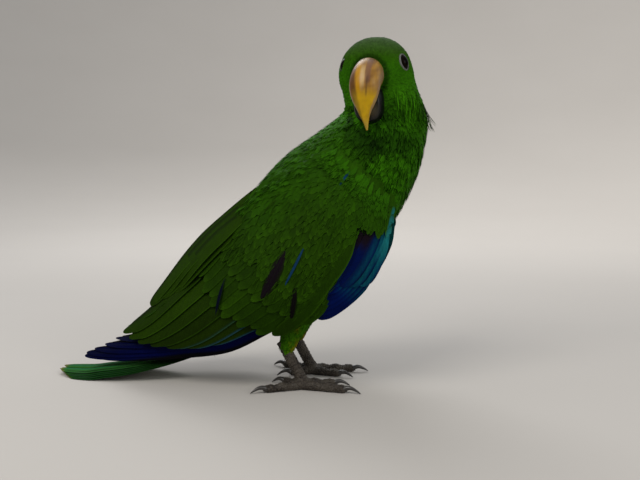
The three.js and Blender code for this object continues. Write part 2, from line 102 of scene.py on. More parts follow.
class Link:
    """One output of a shader tree, for writing sums of masks as plain expressions."""

    def __init__(self, tree, socket=None):
        self.tree, self.socket = tree, socket

    def node(self, kind, outlet=0, settings=None, **values):
        """A node's outlet. Its inlets are named with _ for a space, or by number as in _6."""
        made = self.tree.nodes.new("ShaderNode" + kind)
        for key, value in (settings or {}).items():
            setattr(made, key, value)
        for key, value in values.items():
            feed(value, made.inputs[int(key[1:]) if key[1:].isdigit() else key.replace("_", " ")])
        return Link(self.tree, made.outputs[outlet])

    def maths(self, operation, *values):
        return self.node("Math", 0, {"operation": operation}, **{f"_{i}": value for i, value in enumerate(values)})

    def __add__(self, other):
        return self.maths("ADD", self, other)

    def __radd__(self, other):
        return self.maths("ADD", other, self)

    def __sub__(self, other):
        return self.maths("SUBTRACT", self, other)

    def __rsub__(self, other):
        return self.maths("SUBTRACT", other, self)

    def __mul__(self, other):
        return self.maths("MULTIPLY", self, other)

    def __rmul__(self, other):
        return self.maths("MULTIPLY", other, self)

    def __truediv__(self, other):
        return self.maths("DIVIDE", self, other)

    def between(self, low, high):
        """0 below the low value, 1 above the high one, and a smooth step between them."""
        return self.node("MapRange", 0, {"interpolation_type": "SMOOTHSTEP"},
                         Value=self, From_Min=low, From_Max=high)

    def mixed(self, a, b):
        """Colour a where this mask is 0, colour b where it is 1."""
        return self.node("Mix", 2, {"data_type": "RGBA"}, _0=self, _6=a, _7=b)

    def lit(self, light):
        """This colour, made lighter or darker by a number."""
        shade = self.node("CombineColor", Red=light, Green=light, Blue=light)
        return self.node("Mix", 2, {"data_type": "RGBA", "blend_type": "MULTIPLY"}, _0=1.0, _6=self, _7=shade)

    def place(self):
        return self.node("TexCoord", "Object")

    def attribute(self, name, outlet="Color"):
        return self.node("Attribute", outlet, {"attribute_name": name})

    def noise(self, scale, detail, place=None):
        return self.node("TexNoise", Vector=place or self.place(), Scale=scale, Detail=detail)

    def cells(self, scale):
        return self.node("TexVoronoi", Vector=self.place(), Scale=scale)

    def bump(self, strength, distance):
        """This height as a bump."""
        return self.node("Bump", Height=self, Strength=strength, Distance=distance)


def finish_named(name, build):
    """A material. build() takes a first link and names what goes into the surface's own inlets."""
    made = bpy.data.materials.new(name)
    made.use_nodes = True
    surface = made.node_tree.nodes["Principled BSDF"]
    for inlet, value in build(Link(made.node_tree)).items():
        feed(value, surface.inputs[inlet])
    return made


def paper_finish(link):
    tone = link.noise(3.0, 4.0).mixed((0.43, 0.405, 0.375, 1), (0.46, 0.435, 0.405, 1))
    return {"Base Color": tone, "Roughness": 0.9}


floor = bpy.data.objects.new("floor", sweep_of_paper())
bpy.context.scene.collection.objects.link(floor)
floor.data.materials.append(finish_named("paper", paper_finish))


def lamp(name, place, aim, size, watts, colour):
    data = bpy.data.lights.new(name, "AREA")
    data.size, data.energy, data.color = size, watts, colour
    made = bpy.data.objects.new(name, data)
    made.location = place
    made.rotation_euler = (Vector(aim) - Vector(place)).to_track_quat("-Z", "Y").to_euler()
    bpy.context.scene.collection.objects.link(made)


GLOW, GLOW_STRENGTH = (0.93, 0.96, 1.0, 1), 0.55
lamp("key", (-0.55, -1.1, 1.35), (0.0, 0.0, 0.12), 0.9, 17.0, (1.0, 0.97, 0.92))
lamp("side", (1.2, -0.8, 0.7), (0.05, 0.0, 0.12), 0.7, 6.0, (1.0, 0.98, 0.95))
lamp("back", (-0.4, 1.1, 1.3), (0.0, 0.0, 0.12), 0.9, 13.0, (0.97, 0.98, 1.0))
lamp("backdrop", (0.5, 0.9, 1.7), (0.9, 3.2, 0.75), 1.2, 29.0, (1.0, 0.97, 0.93))
world = bpy.data.worlds.new("studio")
world.use_nodes = True
world.node_tree.nodes["Background"].inputs["Color"].default_value = GLOW
world.node_tree.nodes["Background"].inputs["Strength"].default_value = GLOW_STRENGTH
bpy.context.scene.world = world
bpy.context.scene.view_settings.view_transform = "Standard"

# The skin. A bird's is thin, over flesh that tapers from the breast to the tail's root. It is lofted along
# the spine from the crown, with the thighs and the folded arms grown in, and feathers hide nearly all of it.
PITCH = 49.0  # the back's axis above the horizontal, in degrees
HEAD_TURN = -98.0
HEAD_X, HEAD_Y, CROWN = 99.6, -8.0, 240.5


def through(values, t):
    """A smooth curve through a row of numbers, at t from 0 to their count less one."""
    values, t = np.asarray(values, float), np.asarray(t, float)
    last = len(values) - 1
    i = np.clip(np.floor(t).astype(int), 0, last - 1)
    f = t - i
    a, b, c, d = (values[np.clip(i + k, 0, last)] for k in (-1, 0, 1, 2))
    return b + 0.5 * f * (c - a + f * (2 * a - 5 * b + 4 * c - d + f * (3 * (b - c) + d - a)))


def from_body(x, y, z):
    """The body's frame, x forward along the back's axis and z towards the back, set in the part's."""
    x, y, z = np.broadcast_arrays(np.asarray(x, float), y, z)
    c, s = math.cos(math.radians(PITCH)), math.sin(math.radians(PITCH))
    return np.stack([SHOULDER[0] + c * x - s * z, SHOULDER[1] + y, SHOULDER[2] + s * x + c * z], -1)


def from_head(forward, left, below):
    """The head's frame: forward out of the face, to its left, and down from the crown."""
    forward, left, below = np.broadcast_arrays(np.asarray(forward, float), left, below)
    c, s = math.cos(math.radians(HEAD_TURN)), math.sin(math.radians(HEAD_TURN))
    return np.stack([HEAD_X + c * forward - s * left, HEAD_Y + s * forward + c * left, CROWN - below], -1)


def upright(dx, below, turn, front, back, side):
    """A level station of the head."""
    return [HEAD_X + dx, HEAD_Y, CROWN - below, 90, turn, front, back, side]


def on_body(x, z, lean, turn, depth, side):
    """A station across the back's axis."""
    return [*from_body(x, 0, z), PITCH + lean, turn, depth, depth, side]


# each station's middle, lean and turn in degrees, and reach to the front, the back and the sides
FORM = np.array([
    upright(0.5, 1.2, HEAD_TURN, 7.5, 8.5, 8),
    upright(0.5, 5, HEAD_TURN, 15, 16.5, 15.5),
    upright(0.3, 11.5, HEAD_TURN, 20.3, 22.5, 21.6),
    upright(0.2, 20.5, HEAD_TURN, 22.8, 25.3, 25.2),
    upright(1.2, 29.5, HEAD_TURN, 23.3, 26.5, 26.2),
    upright(4, 38.5, HEAD_TURN, 23, 27, 26.4),
    upright(6.5, 47.5, -88, 24.5, 27.5, 27.8),
    on_body(42, 46, 25, -62, 30.5, 30),
    on_body(19, 42.5, 22, -28, 39.5, 35),
    on_body(-7.5, 41, 15, -8, 45, 36),
    on_body(-39, 40, 7, 0, 46.5, 36.5),
    on_body(-70, 39, 2, 0, 45.5, 35),
    on_body(-98, 40, 0, 0, 38.5, 30),
    on_body(-125, 41, 0, 0, 28.5, 21),
    on_body(-148, 38.5, 0, 0, 15.5, 13),
    on_body(-160, 36, 0, 0, 8, 10),
])
TAIL_END = len(FORM) - 1
# how far the coat stands out from the skin at each station
COAT_DEPTHS = [0.9, 0.9, 0.9, 0.9, 1.0, 1.3, 1.8, 2.3, 2.6, 2.6, 2.8, 3, 3, 3, 2.4, 1.6]


def form_point(t, around, grow=0.0):
    """The bird's outline at t stations from the crown, around from the breast to the left, in radians."""
    t, around, grow = np.broadcast_arrays(np.asarray(t, float), around, grow)
    x, y, z, lean, turn, front, back, side = (through(FORM[:, k], t) for k in range(8))
    lean, turn = np.radians(lean), np.radians(turn)
    angle = around - turn
    ahead = np.stack([np.sin(lean), np.zeros_like(t), -np.cos(lean)], -1)
    left = np.zeros_like(ahead)
    left[..., 1] = 1
    face = ahead * np.cos(turn)[..., None] + left * np.sin(turn)[..., None]
    flank = left * np.cos(turn)[..., None] - ahead * np.sin(turn)[..., None]
    reach = np.where(np.cos(angle) > 0, front, back) + grow
    off = face * (reach * np.cos(angle))[..., None] + flank * ((side + grow) * np.sin(angle))[..., None]
    return np.stack([x, y, z], -1) + off


def closed_rings(rings, first, last):
    """Points and faces of a skin over rings of equal count, closed by a point at each end."""
    count, sides = rings.shape[:2]
    numbers = ring_numbers(count, sides)
    low, high, end = numbers[0].tolist(), numbers[-1].tolist(), count * sides
    caps = [(end, b, a) for a, b in zip(low, low[1:])] + [(end + 1, a, b) for a, b in zip(high, high[1:])]
    return np.concatenate([rings.reshape(-1, 3), [first], [last]]), grid_faces(numbers).tolist() + caps


def joined_mesh(name, parts):
    """One mesh of several lists of points and faces, in metres, with its faces looking out."""
    points, faces, start = [], [], 0
    for part_points, part_faces in parts:
        points.append(np.asarray(part_points) * MM)
        faces += [[start + v for v in face] for face in part_faces]
        start += len(part_points)
    made = bpy.data.meshes.new(name)
    made.from_pydata(np.concatenate(points).tolist(), [], faces, shade_flat=False)
    work = bmesh.new()
    work.from_mesh(made)
    bmesh.ops.recalc_face_normals(work, faces=work.faces)
    work.to_mesh(made)
    work.free()
    return made


def piece_of(name, mesh, *finishes):
    made = bpy.data.objects.new(name, mesh)
    bpy.context.scene.collection.objects.link(made)
    for finish in finishes:
        mesh.materials.append(finish)
    return made


def settled(piece):
    """Works a piece's modifiers into its mesh."""
    solved = bpy.data.meshes.new_from_object(piece.evaluated_get(bpy.context.evaluated_depsgraph_get()))
    piece.modifiers.clear()
    old, piece.data = piece.data, solved
    solved.name = piece.name
    bpy.data.meshes.remove(old)


def in_one_skin(piece, voxel):
    """Puts a modifier on a piece that turns its parts into one closed skin."""
    remesh = piece.modifiers.new("one skin", "REMESH")
    remesh.mode, remesh.voxel_size, remesh.use_smooth_shade = "VOXEL", voxel * MM, True


# a wing's sheet in the body's frame: places along it, then y and z of its lower edge, middle and upper edge
SHEET_X = np.array([6, -18, -48, -85, -120, -155, -190, -220, -246.0])
SHEET_LOW = ([33, 38, 41, 40, 36, 30, 23, 17, 12], [3, -8, -15, -9, 5, 15, 34, 50, 62])
SHEET_MIDDLE = ([40, 45.5, 47.5, 46.5, 42, 34, 24, 16, 11], [32, 33, 35, 41, 49, 55, 63, 72, 79])
SHEET_TOP = ([33, 29, 18, 7.5, 2.6, 2, 3, 5, 7], [62, 72, 84, 89, 91, 90, 89, 94, 97])
FOLDS = {-1: 6.0, 1: 5.6}  # degrees that each wing's tip is lifted
FOLD_START, FOLD_LENGTH = -60, 180


def on_sheet(x, q):
    """A point of the wing's sheet at x along the body and q from its lower edge, 0, to its upper one, 1."""
    x, q = np.broadcast_arrays(np.asarray(x, float), q)
    i = np.clip(np.searchsorted(-SHEET_X, -x, side="right") - 1, 0, len(SHEET_X) - 2)
    t = i + (x - SHEET_X[i]) / (SHEET_X[i + 1] - SHEET_X[i])
    a, b, c = (1 - q) * (1 - 2 * q), 4 * q * (1 - q), q * (2 * q - 1)
    y, z = (a * through(low, t) + b * through(middle, t) + c * through(top, t)
            for low, middle, top in zip(SHEET_LOW, SHEET_MIDDLE, SHEET_TOP))
    return np.stack([x, y, z], -1)


def wing_point(side, x, q, depth):
    """A point of a wing at a depth under its sheet; side is -1 for the right wing."""
    x, q, depth = np.broadcast_arrays(np.asarray(x, float), q, depth)
    out = np.cross(on_sheet(x + 1, q) - on_sheet(x - 1, q), on_sheet(x, q + 0.02) - on_sheet(x, q - 0.02))
    out /= np.linalg.norm(out, axis=-1, keepdims=True)
    out *= np.where(out[..., 1] + 0.01 * out[..., 2] < 0, -1, 1)[..., None]
    p = on_sheet(x, q) - out * depth[..., None]
    fold = np.radians(FOLDS[side]) * np.clip((FOLD_START - x) / FOLD_LENGTH, 0, 1.05) ** 2
    c, s = np.cos(fold), np.sin(fold)
    return from_body(c * p[..., 0] + s * p[..., 2], side * p[..., 1], c * p[..., 2] - s * p[..., 0])


def arm_part(side, x_span, q_span, depths, rows=20, columns=20):
    """A closed, round-edged slab of a folded arm."""
    u, v = np.meshgrid(np.linspace(0, 1, rows), np.linspace(0, 1, columns), indexing="ij")
    full = (1 - np.abs(2 * u - 1) ** 6) * (1 - np.abs(2 * v - 1) ** 6)
    middle, half = sum(depths) / 2, (depths[1] - depths[0]) / 2
    x, q = x_span[0] + u * (x_span[1] - x_span[0]), q_span[0] + v * (q_span[1] - q_span[0])
    outer = wing_point(side, x, q, middle - half * np.sqrt(full)).reshape(-1, 3)
    inner = wing_point(side, x, q, middle + half * np.sqrt(full) + 0.01).reshape(-1, 3)
    numbers = np.arange(rows * columns).reshape(rows, columns)
    top = grid_faces(numbers)
    rim = np.r_[numbers[0, :-1], numbers[:-1, -1], numbers[-1, :0:-1], numbers[:0:-1, 0]]
    after = np.roll(rim, -1)
    edge = np.stack([rim, after, after + numbers.size, rim + numbers.size], -1)
    return np.concatenate([outer, inner]), np.concatenate([top, top[:, ::-1] + numbers.size, edge]).tolist()


def tube(path, radii, sides=24):
    """A round limb along a path of points."""
    path, radii = np.asarray(path, float), np.broadcast_to(np.asarray(radii, float), (len(path),))
    way = np.gradient(path, axis=0)
    way /= np.linalg.norm(way, axis=1, keepdims=True)
    across = np.cross([0.0, 0, 1], way)
    across[np.linalg.norm(across, axis=1) < 0.2] = (0, 1, 0)
    across /= np.linalg.norm(across, axis=1, keepdims=True)
    up = np.cross(way, across)
    a = circle(sides, 0.5)[:, None]
    rings = path[:, None] + radii[:, None, None] * (np.cos(a) * across[:, None] + np.sin(a) * up[:, None])
    return closed_rings(rings, path[0], path[-1])


HIP, HEEL = np.array([58.5, 16, 82]), np.array([39.5, 20.5, 27])  # of the left leg
THIGH_RADII, THIGH_COAT = [14.5, 15, 12.5, 8.5, 6], 1.8
STATION_RINGS, SKIN_SIDES, SKIN_VOXEL = 12, 96, 1.5
stations = np.linspace(0, TAIL_END, TAIL_END * STATION_RINGS + 1)
rings = form_point(stations[:, None], np.linspace(0, 2 * np.pi, SKIN_SIDES + 1)[:-1],
                   -through(COAT_DEPTHS, stations)[:, None])
flesh = [closed_rings(rings, [HEAD_X + 0.5, HEAD_Y, CROWN - 1.2], rings[-1].mean(0) - [3, 0, 2])]
for side in (-1, 1):
    s = np.linspace(0, 1, 16)
    path = (HIP + s[:, None] * (HEEL - HIP)) * [1, side, 1]
    flesh.append(tube(path, through(THIGH_RADII, 4 * s) - THIGH_COAT))
    flesh.append(arm_part(side, (5, -84), (0.2, 0.99), (2.4, 8.5)))
    flesh.append(arm_part(side, (-5, -84), (0.0, 0.2), (2.8, 9.5), 20, 8))
skin = piece_of("skin", joined_mesh("skin", flesh))
in_one_skin(skin, SKIN_VOXEL)
soften = skin.modifiers.new("soften", "SMOOTH")
soften.factor, soften.iterations = 0.5, 6
settled(skin)
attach(skin, "root")
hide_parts("head", "neck", "torso", "thigh_right", "thigh_left")

# The small feathers. Each is a vane a few millimetres long that grows out of the skin, lies back over the
# next one's root and frays at its tip. They run from the bill over the head, down the neck to the tail.
draw = np.random.default_rng(11)


def kd_tree(points):
    tree = KDTree(len(points))
    for i, point in enumerate(points):
        tree.insert(point, i)
    tree.balance()
    return tree


skin_tree = BVHTree.FromPolygons([tuple(v.co / MM) for v in skin.data.vertices],
                                 [tuple(f.vertices) for f in skin.data.polygons])
form_stations, form_angles = np.meshgrid(np.linspace(0, TAIL_END, TAIL_END * 8 + 1),
                                         np.linspace(-np.pi, np.pi, 97)[:-1], indexing="ij")
form_tree = kd_tree(form_point(form_stations, form_angles).reshape(-1, 3))


def unit(v):
    return v / np.maximum(np.linalg.norm(v, axis=-1, keepdims=True), 1e-9)


def ease(x, low, high):
    """0 below the low value, 1 above the high one, and a smooth step between them."""
    f = np.clip((np.asarray(x, float) - low) / (high - low), 0, 1)
    return f * f * (3 - 2 * f)


def blend(share, a, b):
    """Colour a where the share is 0, colour b where it is 1."""
    return np.asarray(a) + (np.asarray(b) - np.asarray(a)) * np.asarray(share)[..., None]


def painted(colour, *coats):
    """A colour with others laid over it in turn, each as its share and its colour."""
    for share, over in coats:
        colour = blend(share, colour, over)
    return colour


def paint(red, green, blue):
    """A colour as it is named on a screen, from 0 to 255, in the linear numbers that light adds up in."""
    c = np.array([red, green, blue]) / 255
    return np.where(c < 0.04045, c / 12.92, ((c + 0.055) / 1.055) ** 2.4)


def tinted(mesh, colours):
    """Stores a colour at each of a mesh's points, for the material to read."""
    colours = np.c_[colours, np.ones(len(colours))]
    mesh.attributes.new("tint", "FLOAT_COLOR", "POINT").data.foreach_set("color", colours.ravel())


def place_on_form(points):
    """The station and angle of each point on the bird's outline."""
    found = np.array([form_tree.find(p)[1] for p in points])
    return form_stations.ravel()[found], form_angles.ravel()[found]


def beside_thigh(points):
    """How far along a thigh each point is, from 0 to 1, and its distance outside the thigh's surface."""
    p = points * np.stack([np.ones(len(points)), np.where(points[:, 1] < 0, -1, 1), np.ones(len(points))], -1)
    s = np.clip(((p - HIP) @ (HEEL - HIP)) / ((HEEL - HIP) @ (HEEL - HIP)), 0, 1)
    off = np.linalg.norm(p - HIP - s[:, None] * (HEEL - HIP), axis=1)
    return s, off - through(THIGH_RADII, 4 * s)


BILL_ROOT = from_head(17, 0, 33)
EYE_ANGLE, EYE_LEVEL = math.radians(63), CROWN - 18.2
EYE_TURNED, EYE_SUNK = {-1: -12, 1: 6}, {-1: 1.8, 1: 0.1}  # degrees and millimetres
EYE_NARROW = 0.8  # an opening's breadth for its height


def eye_rim(side):
    """Where an eye looks out: the place on the outline and the way it faces."""
    station = float(np.interp(-EYE_LEVEL, -FORM[:7, 2], np.arange(7)))
    for _ in range(20):
        slope = (through(FORM[:, 2], station + 0.01) - through(FORM[:, 2], station - 0.01)) / 0.02
        station -= float(through(FORM[:, 2], station) - EYE_LEVEL) / float(slope)
    around = side * EYE_ANGLE + math.radians(float(through(FORM[:, 4], station)))
    spot = form_point(station, around)
    down = form_point(station + 0.01, around) - form_point(station - 0.01, around)
    out = unit(np.cross(form_point(station, around + 0.01) - form_point(station, around - 0.01), down))
    return spot, out if out @ (spot - FORM[3, :3]) > 0 else -out


EYES = {side: eye_rim(side) for side in (-1, 1)}


def eye_frame(side):
    """The middle of an eye's opening and the three ways it is measured along: out, across and up."""
    spot, out = EYES[side]
    out = np.array(Matrix.Rotation(math.radians(EYE_TURNED[side]), 3, "Z") @ Vector(out))
    across = unit(np.cross(out, [0, 0, 1.0]))
    return spot - out * EYE_SUNK[side], out, across * EYE_NARROW, np.cross(across, out)


def inside_lids(points, radius):
    """True where points lie within the oval of an eye's lids, out to a radius."""
    inside = np.zeros(len(points), bool)
    for side in (-1, 1):
        spot, out, across, up = eye_frame(side)
        off = points - spot
        inside |= (np.hypot(off @ across / EYE_NARROW ** 2, off @ up) < radius) & (np.abs(off @ out) < 9)
    return inside


# how long the feathers are at each station
FEATHER_LENGTHS = [3.4, 3.4, 3.6, 3.9, 4.8, 7.0, 10.0, 12.0, 13, 14, 15, 16, 17, 19, 20, 16]


def feather_length(points, t):
    """How long the feathers are, in millimetres: least by the bill and eyes, most on the belly and rump."""
    near_bill = ease(np.linalg.norm(points - BILL_ROOT, axis=1), 14, 34)
    off_eye = np.min([np.linalg.norm(points - EYES[side][0], axis=1) for side in (-1, 1)], axis=0)
    near_eye = ease(off_eye, 6, 15)
    face = np.where(t < 6, (0.55 + 0.45 * near_bill) * (0.55 + 0.45 * near_eye), 1)
    length = through(FEATHER_LENGTHS, t) * face
    s, off = beside_thigh(points)
    return np.where((off < 1) & (s > 0.35), np.minimum(length, 13 - 7 * s), length)


SCATTER = 8  # how many random places are tried for each one that is kept


def scattered(mesh, gap_at):
    """Points set evenly at random over a mesh, gap_at(points) apart, and the mesh's normals there."""
    mesh.calc_loop_triangles()
    corners = np.empty(len(mesh.loop_triangles) * 3, np.int32)
    mesh.loop_triangles.foreach_get("vertices", corners)
    corners = corners.reshape(-1, 3)
    places, normals = np.empty(len(mesh.vertices) * 3), np.empty(len(mesh.vertices) * 3)
    mesh.vertices.foreach_get("co", places)
    mesh.vertices.foreach_get("normal", normals)
    places, normals = places.reshape(-1, 3) / MM, normals.reshape(-1, 3)
    a, b, c = (places[corners[:, k]] for k in range(3))
    gap = gap_at((a + b + c) / 3)
    weight = np.linalg.norm(np.cross(b - a, c - a), axis=1) / 2 / gap ** 2
    count = int(SCATTER * weight.sum())
    pick = draw.choice(len(corners), count, p=weight / weight.sum())
    share = draw.dirichlet((1, 1, 1), count)
    points, facing = (sum(share[:, k, None] * v[corners[pick, k]] for k in range(3)) for v in (places, normals))
    tree = kd_tree(points)
    gone, kept = np.zeros(count, bool), []
    for i in range(count):
        if not gone[i]:
            kept.append(i)
            gone[[j for _, j, _ in tree.find_range(points[i], gap[pick[i]])]] = True
    return points[kept], unit(facing)[kept]


LEVEL_WAY, THIGH_WAY = np.array([-0.94, 0, -0.34]), unit(np.array([-0.25, 0.02, -0.95]))


def along_skin(ways, normals):
    return unit(ways - normals * np.sum(ways * normals, 1, keepdims=True))


def lie_of_coat(points, normals, t, around):
    """The way the feathers point at each place: away from the bill, then down the neck and to the tail."""
    tailward = unit(form_point(np.minimum(t + 0.2, TAIL_END), around)
                    - form_point(np.maximum(t - 0.2, 0), around))
    from_bill = unit(points - BILL_ROOT)
    way = tailward + ease(-t, -7.2, -4.2)[:, None] * (1.6 * from_bill - 0.6 * tailward)
    level = ease(t, 12.2, 14.5)[:, None]
    way = way * (1 - 0.6 * level) + level * 0.6 * LEVEL_WAY
    s, off = beside_thigh(points)
    on_thigh = (ease(-off, -3, 0) * ease(s, 0.15, 0.45))[:, None]
    return along_skin(way * (1 - on_thigh) + on_thigh * THIGH_WAY, normals)


def laid_over_skin(roots, normals, ways, lengths, steps):
    """The run of each feather over the skin: its places and normals at even steps from the root."""
    places, facings = np.empty((len(roots), steps + 1, 3)), np.empty((len(roots), steps + 1, 3))
    for n, (p, facing, way, length) in enumerate(zip(roots, normals, ways, lengths)):
        p, facing, way, step = Vector(p), Vector(facing), Vector(way), length / steps
        places[n, 0], facings[n, 0] = p, facing
        for k in range(1, steps + 1):
            free = p + way * step
            spot, normal, _, off = skin_tree.find_nearest(free)
            if off < 0.45 * step and normal.dot(facing) > 0.5:
                p, facing = spot, (facing + normal).normalized()
            else:
                p = free
            way = (way - facing * way.dot(facing)).normalized()
            places[n, k], facings[n, k] = p, facing
    return places, facings


def vane_faces(rows, columns):
    """Faces of one closed vane, whose upper and lower sheets of rows by columns share their rim."""
    upper = np.arange(rows * columns).reshape(rows, columns)
    lower = upper.copy()
    lower[1:-1, 1:-1] = rows * columns + np.arange((rows - 2) * (columns - 2)).reshape(rows - 2, columns - 2)
    return np.concatenate([grid_faces(upper), grid_faces(lower)[:, ::-1]])


VANE_PATCH = 0.003  # each vane's part of its piece's map


def vanes_of(batch, start):
    """A batch's points, faces, colours, places on the vane, places on the map, and which points are rim."""
    upper, lower = batch["upper"], batch["lower"]
    count, rows, columns = upper.shape[:3]
    r, c = rows // 2, columns // 2
    turn = np.cross(upper[:, r, c + 1] - upper[:, r, c - 1], upper[:, r + 1, c] - upper[:, r - 1, c])
    flip = -1 if np.sum(turn * (upper - lower)[:, r, c]) < 0 else 1  # faces have to look out

    def both(values, under=None):
        """Values on the upper sheets, then those on the lower sheets inside the shared rims."""
        shape = (count, rows, columns, values.shape[-1])
        values = np.broadcast_to(values, shape)
        under = values if under is None else under
        return np.concatenate([values.reshape(count, -1, shape[-1]),
                               under[:, 1:-1, 1:-1].reshape(count, -1, shape[-1])], 1).reshape(-1, shape[-1])

    points = both(upper[:, :, ::flip], lower[:, :, ::flip])
    each = len(points) // count
    rim = np.ones((rows, columns, 1))
    rim[1:-1, 1:-1] = 0
    rim = both(rim, np.zeros((count, rows, columns, 1)))[:, 0] > 0
    faces = vane_faces(rows, columns) + start + each * np.arange(count)[:, None, None]
    vane = np.stack(np.broadcast_arrays(batch["across"], batch["along"], batch["chance"][:, None, None]), -1)
    patch = np.stack(np.meshgrid(np.linspace(0, VANE_PATCH, columns), np.linspace(0, VANE_PATCH, rows)), -1)
    return (points, faces.reshape(-1, 4), both(batch["tint"][:, :, ::flip]), both(vane[:, :, ::flip]),
            both(batch["places"][:, None, None] + patch), rim)


def feather_piece(name, batches, finish, nodes=()):
    """One piece of many feathers. A batch holds upper and lower sheets of points, the colour at each point,
    its place on the vane in millimetres across and along, the feathers' random numbers and places on the map."""
    made, start = [], 0
    for batch in batches:
        made.append(vanes_of(batch, start))
        start += len(made[-1][0])
    points, faces, tints, vanes, patches, rims = map(np.concatenate, zip(*made))
    mesh = bpy.data.meshes.new(name)
    mesh.vertices.add(len(points))
    mesh.vertices.foreach_set("co", (points * MM).ravel())
    mesh.loops.add(faces.size)
    mesh.loops.foreach_set("vertex_index", faces.ravel().astype(np.int32))
    mesh.polygons.add(len(faces))
    mesh.polygons.foreach_set("loop_start", np.arange(0, faces.size, 4, dtype=np.int32))
    mesh.polygons.foreach_set("use_smooth", np.ones(len(faces), bool))
    mesh.update(calc_edges=True)
    ends = np.empty(len(mesh.edges) * 2, np.int32)
    mesh.edges.foreach_get("vertices", ends)
    sharp = rims[ends.reshape(-1, 2)].all(1)
    mesh.attributes.new("sharp_edge", "BOOLEAN", "EDGE").data.foreach_set("value", sharp)
    tinted(mesh, tints)
    mesh.attributes.new("vane", "FLOAT_VECTOR", "POINT").data.foreach_set("vector", vanes.ravel())
    mesh.uv_layers.new(name="OFBake").data.foreach_set("uv", patches[faces.ravel()].ravel())
    piece = piece_of(name, mesh, finish)
    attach(piece, "root")
    if nodes:
        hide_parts(*nodes)


sheet_x, sheet_q = np.meshgrid(np.linspace(8, -100, 55), np.linspace(0, 1, 51), indexing="ij")
sheet_trees = {side: kd_tree(wing_point(side, sheet_x, sheet_q, 2.4).reshape(-1, 3)) for side in (-1, 1)}


def place_on_wing(points):
    """The nearest place on a folded arm, as x and q on the wing's sheet, and the distance to it."""
    found = [sheet_trees[-1 if p[1] < 0 else 1].find(p) for p in points]
    i = [f[1] for f in found]
    return sheet_x.ravel()[i], sheet_q.ravel()[i], np.array([f[2] for f in found])


def joined_tree(*names):
    """A tree for finding places on several of the CAD's nodes at once, in millimetres."""
    points, faces = [], []
    for name in names:
        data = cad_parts[name].data
        faces += [tuple(len(points) + v for v in f.vertices) for f in data.polygons]
        points += [tuple(v.co / MM) for v in data.vertices]
    return BVHTree.FromPolygons(points, faces)


LEAF, OLIVE, GREY_LEAF = paint(42, 92, 4), paint(56, 86, 6), paint(58, 78, 47)
SHOULDER_GREEN, FLANK_RED, THIGH_GOLD = paint(33, 70, 2), paint(150, 22, 8), paint(170, 110, 10)
# painted shade: darker ovals under the throat and on the head's side, where the turned head parts the coat and
# shadow falls: their middle and reach to the left and down, and depth
THROAT_PAINTED_SHADE = (((8, 71), (10, 9), 0.65), ((20, 66), (16, 14), 0.6), ((2, 64), (17, 11), 0.6),
                 ((-10, 57), (5, 13), 0.45), ((14, 50), (5, 13), 0.4))
bill_tree = joined_tree("bill_upper", "bill_lower")
wing_tree = joined_tree(*(f"wing_{side}_{tier}" for side in ("right", "left")
                          for tier in ("coverts", "secondaries", "primaries")))


def coat_colour(points, t):
    """The green of the coat: greyer on the crown, brightest on the breast, with painted shade under the throat and
    beside the bill, red on the flanks below the folded wing and orange at the front of the thighs."""
    colour = painted(LEAF * np.array([1.1, 1.1, 1.0]),
                     (ease(-t, -3.4, -2.0), LEAF * np.array([0.95, 0.68, 0.8])),
                     (0.75 * ease(-t, -2.8, -0.8), GREY_LEAF),
                     (0.35 * ease(-points[:, 2], -80, -35), OLIVE))
    crown = from_head(0, 0, 0)
    ahead, left, below = ((points - crown) @ (from_head(*way) - crown) for way in np.eye(3))
    shade = 1.0
    for middle, reach, dark in THROAT_PAINTED_SHADE:
        off = np.hypot((left - middle[0]) / reach[0], (below - middle[1]) / reach[1])
        shade = shade * (1 - dark * ease(-off, -1, -0.3) * (ahead > 0))
    # painted shadow: the coat is darker within a few millimetres of the bill, where the bill's edge shades it
    beside_bill = np.array([bill_tree.find_nearest(Vector(point))[3] for point in points])
    shade = shade * (1 - 0.55 * ease(-beside_bill, -2.6, -0.8) * (ahead > 0))
    wing_x, wing_q, off_wing = place_on_wing(points)
    flank = ease(-wing_q, -0.06, -0.01) * ease(-wing_x, 36, 50) * ease(-off_wing, -11, -7) * (t > 8)
    s, off = beside_thigh(points)
    gold = ease(s, 0.72, 0.9) * ease(points[:, 0] - (HIP[0] + s * (HEEL - HIP)[0]), 2, 6) * (off < 2) * 0.6
    near_wing = np.maximum(ease(-off_wing, -32, -12) * ease(wing_q, 0.4, 0.7), ease(-off_wing, -8, -4))
    colour = blend(near_wing * (t > 6) * 0.9, colour, SHOULDER_GREEN)
    return painted(colour * shade[:, None], (flank, FLANK_RED), (gold, THIGH_GOLD))


def plumage_finish(fan):
    """Feather cloth: green by its tint, streaked and ridged along the barbs, which fan out or slant."""
    def build(link):
        parts = link.tree.nodes.new("ShaderNodeSeparateXYZ")
        feed(link.attribute("vane", "Vector"), parts.inputs[0])
        across, along, chance = (Link(link.tree, outlet) for outlet in parts.outputs)
        spread = across.maths("ABSOLUTE", across)
        lean = across / (along + 3.0) * 9.0 if fan else along - spread * 1.3
        strand = link.node("CombineXYZ", X=lean, Y=chance * 61.0, Z=along * 0.05)
        streaks = link.noise(2.4 if fan else 1.6, 3.0, strand)
        depth = streaks.between(0.32, 0.68)
        patches = 0.62 + link.noise(90.0, 3.0) * 0.4 + link.noise(420.0, 2.0) * 0.4
        light = (0.7 + chance * 0.25 + depth * (0.5 if fan else 0.25)) * patches
        shaft = 1.0 - spread.between(0.05, 0.28)
        tone = link.attribute("tint").lit(light)
        tone = (shaft * (0.15 if fan else 0.35)).mixed(tone, (0.008, 0.016, 0.002, 1))
        ridges = lean.maths("SINE", lean * (7.0 if fan else 12.0)) * 0.35 + streaks
        return {"Base Color": tone, "Roughness": 0.55 + depth * 0.2, "Specular IOR Level": 0.025,
                "Normal": ridges.bump(0.45 if fan else 0.15, 0.0003)}
    return build


